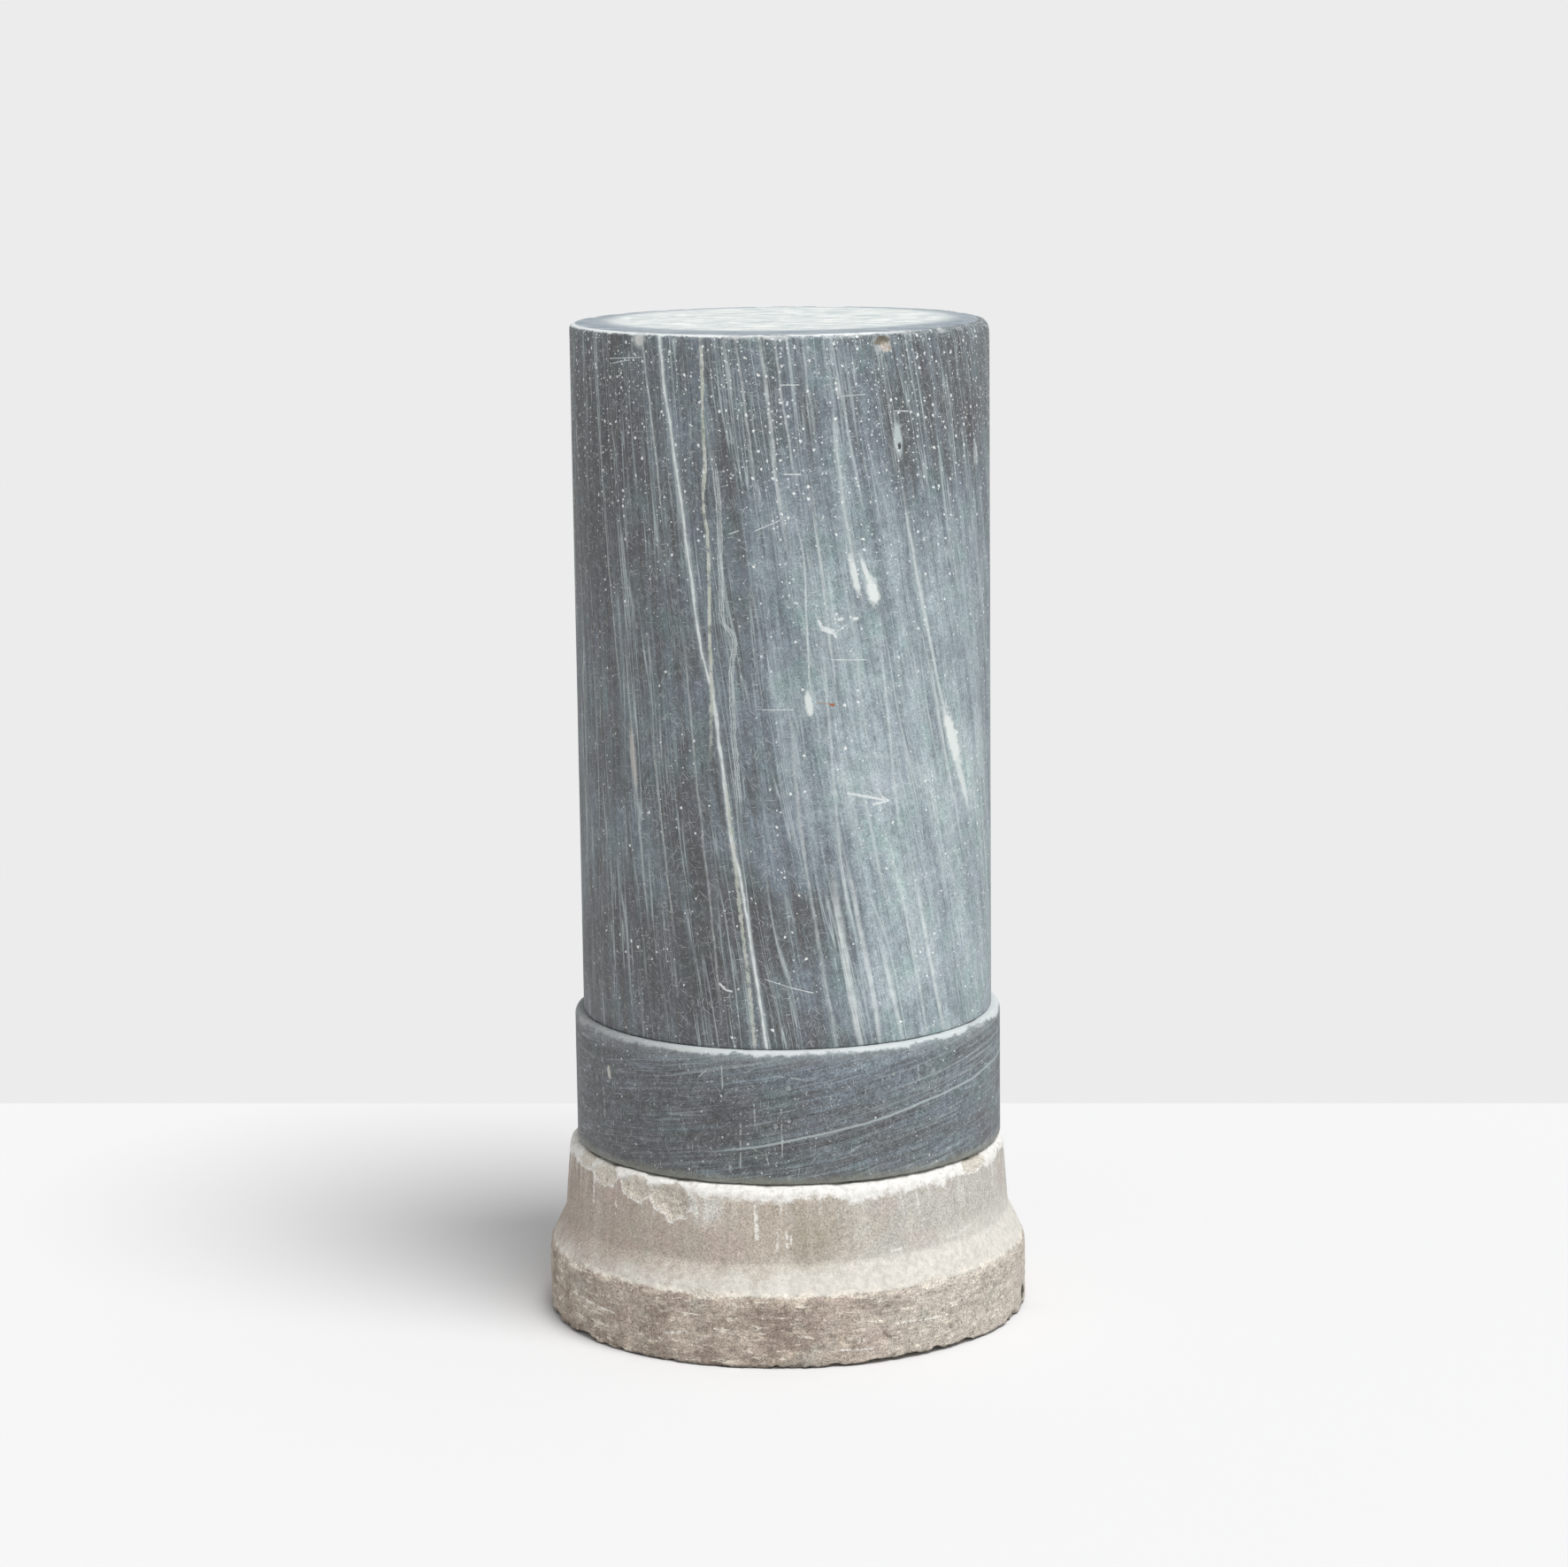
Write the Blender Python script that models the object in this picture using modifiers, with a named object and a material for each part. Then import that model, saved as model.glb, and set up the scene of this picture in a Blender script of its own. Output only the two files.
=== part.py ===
"""A worn marble column: a limestone base, a low collar and a tall shaft, each one turned stone.

Metres, +Z up. The origin is the centre of the base's underside, and the best side faces -Y.
Angles round a stone are in degrees from that front, counted towards +X.
"""

import math
from typing import NamedTuple

import bpy
import bmesh
from mathutils import Matrix, Vector, noise

COLUMN = "marble_column"

# How the stones stand on each other
BEARING_GAP = 0.0003          # left between two stones that touch
DRUM_OFFSET = 0.0025          # the collar and the shaft stand this far to the right of the base's axis
TURN_STEPS = 80               # sides of every turned form

# Base: plinth, sloping ledge, battered body
BASE_HEIGHT = 0.1620
PLINTH_RADIUS = 0.2225
PLINTH_HEIGHT = 0.0670        # where the sloping ledge begins
PLINTH_ARRIS = 0.0080         # rounding of the plinth's worn upper edge
PLINTH_FOOT_WEAR = 0.0030     # rounding of its lower edge
LEDGE_RISE = 0.0245
LEDGE_STEP = 0.0160           # the body's foot stands this far in from the plinth's face
BODY_BATTER = 0.0043          # and its head this much further in
BODY_HEIGHT = PLINTH_HEIGHT + LEDGE_RISE
BODY_FOOT_RADIUS = PLINTH_RADIUS - LEDGE_STEP
BODY_HEAD_RADIUS = BODY_FOOT_RADIUS - BODY_BATTER
BODY_SWEEP = 0.0120           # hollow that joins the ledge and the body
SHOULDER_WEAR = 0.0095        # rounding of the body's worn upper edge

# Collar
COLLAR_HEIGHT = 0.1213
COLLAR_RADIUS = 0.1970
COLLAR_HEAD_WEAR = 0.0055
COLLAR_FOOT_WEAR = 0.0022

# Shaft, a little wider at its head
SHAFT_HEIGHT = 0.6311
SHAFT_FOOT_RADIUS = 0.1890
SHAFT_FLARE = 0.0006
SHAFT_HEAD_RADIUS = SHAFT_FOOT_RADIUS + SHAFT_FLARE
SHAFT_HEAD_WEAR = 0.0050
SHAFT_FOOT_WEAR = 0.0015

# The break under the base's front right edge
FOOT_BREAK_ANGLE = 34.0
FOOT_BREAK_HALF_WIDTH = 0.0800
FOOT_BREAK_REACH = 0.0450     # in from the outer face
FOOT_BREAK_HEIGHT = 0.0050

# A chip's surface is a rough lump pressed into the edge
LUMP_THICKNESS = 2.5          # half thickness of the lump, in depths of the chip
LUMP_ROUGHNESS = 0.10         # how far its surface wanders, in half sizes
LUMP_DETAIL = 2.2             # wanders over each half size
LUMP_SUBDIVISIONS = 3


class Chip(NamedTuple):
    """A broken patch on a stone's edge."""

    angle: float         # round the stone
    drop: float          # of its middle below the edge, or above it where negative
    half_width: float
    half_height: float
    depth: float


SHOULDER_CHIPS = {
    "shoulder_spall_front": Chip(-31.0, 0.0190, 0.0210, 0.0170, 0.0055),
    "shoulder_spall_left": Chip(-42.5, 0.0160, 0.0150, 0.0120, 0.0035),
    "shoulder_spall_far_left": Chip(-55.0, 0.0100, 0.0170, 0.0110, 0.0035),
    "shoulder_bruise_right": Chip(58.0, 0.0050, 0.0200, 0.0070, 0.0020),
    "shoulder_spall_back": Chip(152.0, 0.0140, 0.0240, 0.0150, 0.0045),
    "shoulder_bruise_back_left": Chip(-118.0, 0.0070, 0.0180, 0.0080, 0.0025),
}

FOOT_CHIPS = {
    "foot_notch_right": Chip(79.0, -0.0120, 0.0070, 0.0080, 0.0045),
    "foot_chip_left": Chip(-58.0, 0.0010, 0.0160, 0.0055, 0.0035),
    "foot_chip_back": Chip(168.0, 0.0000, 0.0300, 0.0090, 0.0050),
    "foot_chip_back_left": Chip(-130.0, -0.0010, 0.0200, 0.0070, 0.0040),
}

LEDGE_CHIPS = {
    "ledge_chip_right": Chip(36.0, 0.0020, 0.0120, 0.0050, 0.0018),
    "ledge_chip_back": Chip(-150.0, 0.0030, 0.0200, 0.0080, 0.0030),
}

SHAFT_HEAD_CHIPS = {
    "head_chip_front_right": Chip(28.1, 0.0085, 0.0085, 0.0065, 0.0028),
    "head_bruise_front_left": Chip(-39.7, 0.0040, 0.0075, 0.0060, 0.0016),
    "head_flake_front": Chip(-0.5, 0.0015, 0.0120, 0.0030, 0.0014),
    "head_chip_back": Chip(166.0, 0.0050, 0.0130, 0.0080, 0.0030),
}

COLLAR_HEAD_CHIPS = {
    "collar_bruise_left": Chip(-74.0, 0.0020, 0.0110, 0.0040, 0.0016),
    "collar_chip_back": Chip(136.0, 0.0030, 0.0140, 0.0060, 0.0025),
}


def clear_scene():
    """Removes what the opened file holds."""
    for item in list(bpy.data.objects):
        bpy.data.objects.remove(item, do_unlink=True)


def new_collection(name, parent):
    """A collection for the column's stones or for the forms that cut them."""
    collection = bpy.data.collections.new(name)
    parent.children.link(collection)
    return collection


def stone_material(name, color, roughness):
    """A Principled stone of one even colour."""
    material = bpy.data.materials.new(name)
    material.use_nodes = True
    shader = material.node_tree.nodes["Principled BSDF"]
    shader.inputs["Base Color"].default_value = (*color, 1.0)
    shader.inputs["Roughness"].default_value = roughness
    shader.inputs["Metallic"].default_value = 0.0
    return material


def arc(centre_r, centre_z, radius, start, end, steps):
    """Points (distance from the axis, height) on an arc. Angles run from outward, 0, to up, 90."""
    points = []
    for step in range(steps + 1):
        angle = math.radians(start + (end - start) * step / steps)
        points.append((centre_r + radius * math.cos(angle), centre_z + radius * math.sin(angle)))
    return points


def drum_profile(height, foot_radius, head_radius, head_wear, foot_wear):
    """A plain drum's outline, from the middle of its head down to the middle of its foot."""
    head = arc(head_radius - head_wear, height - head_wear, head_wear, 90, 0, 4)
    foot = arc(foot_radius - foot_wear, foot_wear, foot_wear, 0, -90, 2)
    return [(0.0, height), *head, *foot, (0.0, 0.0)]


def base_profile():
    """The base's outline: head, battered body, hollow sweep, sloping ledge and plinth."""
    shoulder = arc(BODY_HEAD_RADIUS - SHOULDER_WEAR, BASE_HEIGHT - SHOULDER_WEAR, SHOULDER_WEAR, 90, 0, 5)
    # The ledge's slope runs from the plinth's arris up to the body's foot
    slope = math.degrees(math.atan2(LEDGE_RISE, LEDGE_STEP))
    outward = math.radians(90.0 - slope)
    # The hollow is an arc that leaves the body upright and meets the ledge at its slope
    sweep_centre_r = BODY_FOOT_RADIUS + BODY_SWEEP
    sweep = arc(sweep_centre_r, BODY_HEIGHT + BODY_SWEEP * math.tan(outward / 2.0), BODY_SWEEP,
                180.0, 180.0 + math.degrees(outward), 3)
    # The arris is an arc that starts at the slope's own angle and ends upright
    arris = arc(PLINTH_RADIUS - PLINTH_ARRIS, PLINTH_HEIGHT - PLINTH_ARRIS, PLINTH_ARRIS,
                math.degrees(outward), 0.0, 3)
    foot = arc(PLINTH_RADIUS - PLINTH_FOOT_WEAR, PLINTH_FOOT_WEAR, PLINTH_FOOT_WEAR, 0, -90, 2)
    return [(0.0, BASE_HEIGHT), *shoulder, *sweep, *arris, *foot, (0.0, 0.0)]


def turned_stone(name, profile, material, location, parent, collection):
    """Spins an outline of (distance from the axis, height) into one closed stone."""
    mesh = bpy.data.meshes.new(name)
    edges = [(index, index + 1) for index in range(len(profile) - 1)]
    mesh.from_pydata([(r, 0.0, z) for r, z in profile], edges, [])
    mesh.materials.append(material)
    stone = bpy.data.objects.new(name, mesh)
    stone.location = location
    stone.parent = parent
    collection.objects.link(stone)
    turn = stone.modifiers.new("turn", "SCREW")
    turn.axis = "Z"
    turn.angle = math.tau
    turn.steps = TURN_STEPS
    turn.render_steps = TURN_STEPS
    turn.use_merge_vertices = True
    turn.merge_threshold = 0.00001
    turn.use_smooth_shade = True
    return stone


def rough_lump(name, half_sizes, seed, collection):
    """A closed lump of broken outline, to be pressed into a stone."""
    lump = bmesh.new()
    bmesh.ops.create_icosphere(lump, subdivisions=LUMP_SUBDIVISIONS, radius=1.0)
    shift = Vector((seed * 7.31, seed * 3.17, seed * 5.73))
    for vertex in lump.verts:
        wander = noise.noise(vertex.co * LUMP_DETAIL + shift)
        vertex.co *= 1.0 + LUMP_ROUGHNESS * wander * 2.0
    bmesh.ops.transform(lump, matrix=Matrix.Diagonal((*half_sizes, 1.0)), verts=lump.verts)
    mesh = bpy.data.meshes.new(name)
    lump.to_mesh(mesh)
    lump.free()
    cutter = bpy.data.objects.new(name, mesh)
    cutter.hide_render = True
    cutter.display_type = "WIRE"
    collection.objects.link(cutter)
    return cutter


def press_in(stone, cutter, angle, distance, height):
    """Sets a lump beside a stone, facing its axis, and takes it out of the stone."""
    turn = math.radians(angle)
    cutter.parent = stone
    cutter.location = (distance * math.sin(turn), -distance * math.cos(turn), height)
    cutter.rotation_euler = (0.0, 0.0, turn)
    cut = stone.modifiers.new(cutter.name, "BOOLEAN")
    cut.operation = "DIFFERENCE"
    cut.solver = "EXACT"
    cut.object = cutter


def chip_edge(stone, chips, radius, edge_height, collection):
    """Breaks each chip of a list out of one edge of a stone."""
    for name, chip in chips.items():
        thickness = chip.depth * LUMP_THICKNESS
        # The mouth of the lump where it meets the face, as a share of its half size
        mouth = math.sqrt(1.0 - (1.0 - 1.0 / LUMP_THICKNESS) ** 2)
        half_sizes = (chip.half_width / mouth, thickness, chip.half_height / mouth)
        cutter = rough_lump(name, half_sizes, abs(chip.angle) + chip.depth, collection)
        press_in(stone, cutter, chip.angle, radius + thickness - chip.depth, edge_height - chip.drop)


def make_base(parent, stones, cutters):
    """The limestone block with its spalled shoulder, worn ledge and broken foot."""
    material = stone_material("pale_limestone", (0.50, 0.46, 0.41), 0.85)
    base = turned_stone("base", base_profile(), material, (0.0, 0.0, 0.0), parent, stones)
    chip_edge(base, SHOULDER_CHIPS, BODY_HEAD_RADIUS, BASE_HEIGHT, cutters)
    chip_edge(base, LEDGE_CHIPS, PLINTH_RADIUS, PLINTH_HEIGHT, cutters)
    chip_edge(base, FOOT_CHIPS, PLINTH_RADIUS, 0.0, cutters)
    half_sizes = (FOOT_BREAK_HALF_WIDTH, FOOT_BREAK_REACH, FOOT_BREAK_HEIGHT)
    foot_break = rough_lump("foot_break", half_sizes, FOOT_BREAK_ANGLE, cutters)
    press_in(base, foot_break, FOOT_BREAK_ANGLE, PLINTH_RADIUS, 0.0)
    return base


def make_collar(parent, stones, cutters):
    """The low marble drum between the base and the shaft."""
    material = stone_material("collar_marble", (0.10, 0.12, 0.14), 0.55)
    profile = drum_profile(COLLAR_HEIGHT, COLLAR_RADIUS, COLLAR_RADIUS, COLLAR_HEAD_WEAR, COLLAR_FOOT_WEAR)
    location = (DRUM_OFFSET, 0.0, BASE_HEIGHT + BEARING_GAP)
    collar = turned_stone("collar", profile, material, location, parent, stones)
    chip_edge(collar, COLLAR_HEAD_CHIPS, COLLAR_RADIUS, COLLAR_HEIGHT, cutters)
    return collar


def make_shaft(parent, stones, cutters):
    """The tall marble drum with its chipped head."""
    material = stone_material("shaft_marble", (0.13, 0.16, 0.18), 0.55)
    profile = drum_profile(SHAFT_HEIGHT, SHAFT_FOOT_RADIUS, SHAFT_HEAD_RADIUS, SHAFT_HEAD_WEAR, SHAFT_FOOT_WEAR)
    collar_head = BASE_HEIGHT + BEARING_GAP + COLLAR_HEIGHT
    location = (DRUM_OFFSET, 0.0, collar_head + BEARING_GAP)
    shaft = turned_stone("shaft", profile, material, location, parent, stones)
    chip_edge(shaft, SHAFT_HEAD_CHIPS, SHAFT_HEAD_RADIUS, SHAFT_HEIGHT, cutters)
    return shaft


def main():
    """Builds the column in an empty scene."""
    clear_scene()
    root = bpy.context.scene.collection
    stones = new_collection(COLUMN, root)
    cutters = new_collection(COLUMN + "_cutters", root)
    axis = bpy.data.objects.new(COLUMN, None)
    stones.objects.link(axis)
    make_base(axis, stones, cutters)
    make_collar(axis, stones, cutters)
    make_shaft(axis, stones, cutters)


main()
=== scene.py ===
"""The looks of a worn marble column: three stones, a pale floor, soft light and the photograph's camera.

Meshes are in metres. Shader patterns are in millimetres: heights above the floor, and distances round
a stone from the front (-Y), counted to the right. Angles round a stone are in degrees from that front.
"""

import math
from typing import NamedTuple

import bpy
from mathutils import Matrix, Vector, noise


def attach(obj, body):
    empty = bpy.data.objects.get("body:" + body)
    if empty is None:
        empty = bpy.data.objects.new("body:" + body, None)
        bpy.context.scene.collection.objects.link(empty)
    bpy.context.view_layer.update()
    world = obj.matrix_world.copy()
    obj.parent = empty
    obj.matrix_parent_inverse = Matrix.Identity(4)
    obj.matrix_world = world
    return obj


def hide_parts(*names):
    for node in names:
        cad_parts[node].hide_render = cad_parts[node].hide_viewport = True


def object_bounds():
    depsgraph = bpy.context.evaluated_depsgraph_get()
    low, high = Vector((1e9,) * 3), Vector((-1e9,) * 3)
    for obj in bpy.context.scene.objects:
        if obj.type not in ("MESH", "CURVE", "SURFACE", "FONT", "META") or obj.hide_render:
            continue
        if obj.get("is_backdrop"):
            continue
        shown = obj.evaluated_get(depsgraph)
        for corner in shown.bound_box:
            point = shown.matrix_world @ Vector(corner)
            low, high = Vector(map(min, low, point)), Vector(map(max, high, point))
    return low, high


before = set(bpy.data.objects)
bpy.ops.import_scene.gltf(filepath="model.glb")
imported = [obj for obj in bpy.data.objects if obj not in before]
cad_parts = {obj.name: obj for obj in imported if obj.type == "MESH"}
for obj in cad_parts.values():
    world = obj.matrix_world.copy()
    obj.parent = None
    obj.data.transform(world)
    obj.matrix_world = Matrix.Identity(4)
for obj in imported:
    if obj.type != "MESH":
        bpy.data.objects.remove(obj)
cad_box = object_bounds()

MM = 0.001

# The stones' sizes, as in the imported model
DRUM_OFFSET = 2.5 * MM
GAP = 0.3 * MM
BASE_HEIGHT = 162.0 * MM
PLINTH_RADIUS = 222.5 * MM
PLINTH_HEIGHT = 67.0 * MM
PLINTH_ARRIS = 8.0 * MM
PLINTH_FOOT_WEAR = 3.0 * MM
LEDGE_RISE = 24.5 * MM
LEDGE_STEP = 16.0 * MM
BODY_BATTER = 4.3 * MM
BODY_SWEEP = 12.0 * MM
SHOULDER_WEAR = 9.5 * MM
BODY_HEIGHT = PLINTH_HEIGHT + LEDGE_RISE
BODY_FOOT_RADIUS = PLINTH_RADIUS - LEDGE_STEP
BODY_HEAD_RADIUS = BODY_FOOT_RADIUS - BODY_BATTER
COLLAR_HEIGHT = 121.3 * MM
COLLAR_RADIUS = 197.0 * MM
COLLAR_HEAD_WEAR = 5.5 * MM
COLLAR_FOOT_WEAR = 2.2 * MM
COLLAR_FOOT = BASE_HEIGHT + GAP
COLLAR_HEAD = COLLAR_FOOT + COLLAR_HEIGHT
SHAFT_HEIGHT = 631.1 * MM
SHAFT_FOOT_RADIUS = 189.0 * MM
SHAFT_HEAD_RADIUS = 189.6 * MM
SHAFT_HEAD_WEAR = 5.0 * MM
SHAFT_FOOT_WEAR = 1.5 * MM
SHAFT_FOOT = COLLAR_HEAD + GAP
SHAFT_HEAD = SHAFT_FOOT + SHAFT_HEIGHT

# Mesh: points round a stone, and the spacing of its rings on its side and on its beds
DRUM_STEPS = 480
BASE_STEPS = 640
SHAFT_SPACING = (5.0 * MM, 9.0 * MM)
COLLAR_SPACING = (2.5 * MM, 12.0 * MM)
BASE_SPACING = (1.8 * MM, 12.0 * MM)
BASE_BED_RADIUS = 150.0 * MM          # inside it the base's head and underside stay flat
DRUM_BED_RADIUS = 180.0 * MM

# Depths of the wear
BODY_ROUGHNESS = 0.16 * MM
PLINTH_ROUGHNESS = 0.42 * MM          # on top of the body's
PLINTH_PITS = 1.5 * MM
PLINTH_EDGE_WEAR = 1.5 * MM
SHOULDER_EDGE_WEAR = 1.3 * MM
FOOT_CRUMBLE = 4.0 * MM
DRUM_HEAD_NICKS = 0.9 * MM
COLLAR_FOOT_NICKS = 0.6 * MM
RUBBED_ARRIS = 2.6 * MM

# Radii that turn an angle into a distance round a stone in its patterns, in millimetres
SHAFT_PATTERN_RADIUS = 190.5
COLLAR_PATTERN_RADIUS = 197.0
BASE_PATTERN_RADIUS = 205.0


# Camera, fitted to the outlines in the photograph

PHOTO_WIDTH = 1772
PHOTO_HEIGHT = 1771
FOCAL_PIXELS = 4795.0
SENSOR = 36.0
CAMERA_DISTANCE = 3.844
CAMERA_HEIGHT = 1.1783
CAMERA_PITCH = math.radians(10.156)
CAMERA_ROLL = math.radians(-0.70)
CAMERA_YAW = math.radians(-0.012)
CAMERA_PLACE = Vector((DRUM_OFFSET, -CAMERA_DISTANCE, CAMERA_HEIGHT))
WALL_ROW = 1247.0                     # the row where the floor ends in the photograph


def camera_axes():
    """The camera's right, up and forward directions."""
    reach = math.cos(CAMERA_PITCH)
    forward = Vector((math.sin(CAMERA_YAW) * reach, math.cos(CAMERA_YAW) * reach, -math.sin(CAMERA_PITCH)))
    level = Vector((math.cos(CAMERA_YAW), -math.sin(CAMERA_YAW), 0.0))
    above = level.cross(forward)
    right = math.cos(CAMERA_ROLL) * level + math.sin(CAMERA_ROLL) * above
    up = -math.sin(CAMERA_ROLL) * level + math.cos(CAMERA_ROLL) * above
    return right, up, forward


def make_camera():
    """The photograph's view: a long lens, looking a little down."""
    right, up, forward = camera_axes()
    data = bpy.data.cameras.new("camera")
    data.sensor_width = SENSOR
    data.lens = FOCAL_PIXELS / PHOTO_WIDTH * SENSOR
    data.clip_start = 0.1
    data.clip_end = 60.0
    camera = bpy.data.objects.new("camera", data)
    turn = Matrix((right, up, -forward)).transposed().to_4x4()
    camera.matrix_world = Matrix.Translation(CAMERA_PLACE) @ turn
    bpy.context.scene.collection.objects.link(camera)
    bpy.context.scene.camera = camera


def floor_point(column, row):
    """The floor's point behind a pixel of the photograph."""
    right, up, forward = camera_axes()
    ray = (forward + right * (column - PHOTO_WIDTH / 2) / FOCAL_PIXELS
           - up * (row - PHOTO_HEIGHT / 2) / FOCAL_PIXELS)
    return CAMERA_PLACE - ray * (CAMERA_PLACE.z / ray.z)


# Meshes of the stones

class Chip(NamedTuple):
    """A broken patch on an edge, in degrees and millimetres: its middle lies that far below the edge."""

    angle: float
    drop: float
    half_width: float
    half_height: float
    depth: float


SHOULDER_CHIPS = (
    Chip(-31, 18, 23, 18, 6),
    Chip(-42.5, 14, 19, 13, 4),
    Chip(-55, 9, 22, 11, 3.6),
    Chip(-66, 5, 16, 8, 2.6),
    Chip(58, 5, 24, 8, 2.4),
    Chip(152, 13, 26, 15, 4.5),
    Chip(-118, 7, 22, 9, 3),
    Chip(104, 4, 18, 7, 2.4),
)
LEDGE_CHIPS = (
    Chip(36, 2, 14, 5, 1.8),
    Chip(-20, 1, 18, 4, 1.4),
    Chip(-62, 2, 18, 5, 2),
    Chip(-150, 3, 24, 8, 3),
)
FOOT_CHIPS = (
    Chip(79, -12, 8, 9, 5),
    Chip(70, -3, 12, 5, 3.5),
    Chip(-58, -2, 18, 5, 3.5),
    Chip(-75, -3, 14, 5, 3),
    Chip(168, -3, 34, 9, 5),
    Chip(-130, -3, 24, 7, 4),
)
SHAFT_HEAD_CHIPS = (
    Chip(28.3, 8.5, 9.5, 8, 3),
    Chip(-40, 4.5, 8.5, 7, 1.6),
    Chip(-1, 1.5, 14, 3.5, 1.2),
    Chip(-11, 1, 9, 2.6, 1),
    Chip(49, 1.5, 6, 3, 1.2),
    Chip(166, 5, 14, 8, 3),
    Chip(-112, 3, 10, 5, 2),
)
COLLAR_HEAD_CHIPS = (
    Chip(-74, 2, 13, 5, 1.6),
    Chip(63, 1.5, 12, 4, 1.2),
    Chip(136, 3, 15, 6, 2.5),
)

# The base's underside is broken away round this angle
FOOT_BREAK_ANGLE = 33.0
FOOT_BREAK_SPREAD = 24.0
FOOT_BREAK_HEIGHT = 5.2 * MM
FOOT_BREAK_REACH = 42.0 * MM


def arc(centre_r, centre_z, radius, start, end, steps):
    """Points (distance from the axis, height) on an arc. Angles run from outward, 0, to up, 90."""
    points = []
    for step in range(steps + 1):
        angle = math.radians(start + (end - start) * step / steps)
        points.append((centre_r + radius * math.cos(angle), centre_z + radius * math.sin(angle)))
    return points


def drum_outline(foot, head, foot_radius, head_radius, head_wear, foot_wear):
    """A plain drum, from the middle of its head down to the middle of its foot."""
    upper = arc(head_radius - head_wear, head - head_wear, head_wear, 90, 0, 8)
    lower = arc(foot_radius - foot_wear, foot + foot_wear, foot_wear, 0, -90, 3)
    return [(0.0, head), *upper, *lower, (0.0, foot)]


def base_outline():
    """The base: head, battered body, hollow sweep, sloping ledge and plinth."""
    shoulder = arc(BODY_HEAD_RADIUS - SHOULDER_WEAR, BASE_HEIGHT - SHOULDER_WEAR, SHOULDER_WEAR, 90, 0, 9)
    outward = math.radians(90.0) - math.atan2(LEDGE_RISE, LEDGE_STEP)
    sweep_height = BODY_HEIGHT + BODY_SWEEP * math.tan(outward / 2.0)
    sweep_end = 180.0 + math.degrees(outward)
    sweep = arc(BODY_FOOT_RADIUS + BODY_SWEEP, sweep_height, BODY_SWEEP, 180.0, sweep_end, 5)
    arris_height = PLINTH_HEIGHT - PLINTH_ARRIS
    arris = arc(PLINTH_RADIUS - PLINTH_ARRIS, arris_height, PLINTH_ARRIS, math.degrees(outward), 0.0, 6)
    foot = arc(PLINTH_RADIUS - PLINTH_FOOT_WEAR, PLINTH_FOOT_WEAR, PLINTH_FOOT_WEAR, 0, -90, 4)
    return [(0.0, BASE_HEIGHT), *shoulder, *sweep, *arris, *foot, (0.0, 0.0)]


def dense_outline(outline, spacing):
    """Adds points along the straight runs, fewer on the level ones."""
    side_spacing, bed_spacing = spacing
    points = [outline[0]]
    for start, end in zip(outline, outline[1:]):
        step = bed_spacing if start[1] == end[1] else side_spacing
        pieces = max(1, math.ceil(math.dist(start, end) / step))
        for piece in range(1, pieces + 1):
            share = piece / pieces
            radius = start[0] + (end[0] - start[0]) * share
            height = start[1] + (end[1] - start[1]) * share
            points.append((radius, height))
    return points


def outline_normals(points):
    """The outward direction at each outline point."""
    normals = []
    for index in range(len(points)):
        before = points[max(index - 1, 0)]
        after = points[min(index + 1, len(points) - 1)]
        run = Vector((after[0] - before[0], after[1] - before[1])).normalized()
        normals.append((-run.y, run.x))
    return normals


def clamped(value, low=0.0, high=1.0):
    """The value kept between two limits."""
    return max(low, min(high, value))


def wrapped(angle):
    """An angle brought between -180 and 180 degrees."""
    return (angle + 180.0) % 360.0 - 180.0


def near(value, place, reach):
    """1 at a place, falling evenly to 0 at a reach from it."""
    return clamped(1.0 - abs(place - value) / reach)


def waves(point, frequency, depth):
    """Soft waves of that depth."""
    return depth * (0.5 + 0.5 * noise.noise(point * frequency))


def wear(point, frequency, share, gain):
    """Wear that comes and goes along an edge, from 0 to 1."""
    return clamped(share + gain * noise.fractal(point * frequency, 1.0, 2.0, 3))


def nicks(point, frequency):
    """Scattered nicks, from 0 to 1."""
    return clamped(noise.fractal(point * frequency, 0.8, 2.1, 4) * 2.0 - 0.25)


def chip_cut(chips, angle, height, edge, radius, point):
    """How deep the chips of one edge cut here, and how broken the surface is."""
    depth = 0.0
    broken = 0.0
    for chip in chips:
        across = math.radians(wrapped(angle - chip.angle)) * radius / (chip.half_width * MM)
        down = (edge - chip.drop * MM - height) / (chip.half_height * MM)
        if abs(across) > 1.5 or abs(down) > 1.5:
            continue
        ragged = 0.28 * noise.fractal(point * 110.0, 1.0, 2.0, 3)
        inside = 1.0 - math.hypot(across, down) + ragged
        if inside <= 0.0:
            continue
        facets = 0.85 + 0.38 * noise.noise(point * 260.0) + 0.2 * noise.noise(point * 620.0)
        depth = max(depth, chip.depth * MM * clamped(inside / 0.5) * facets)
        broken = max(broken, clamped(inside / 0.12))
    return depth, broken


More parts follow.
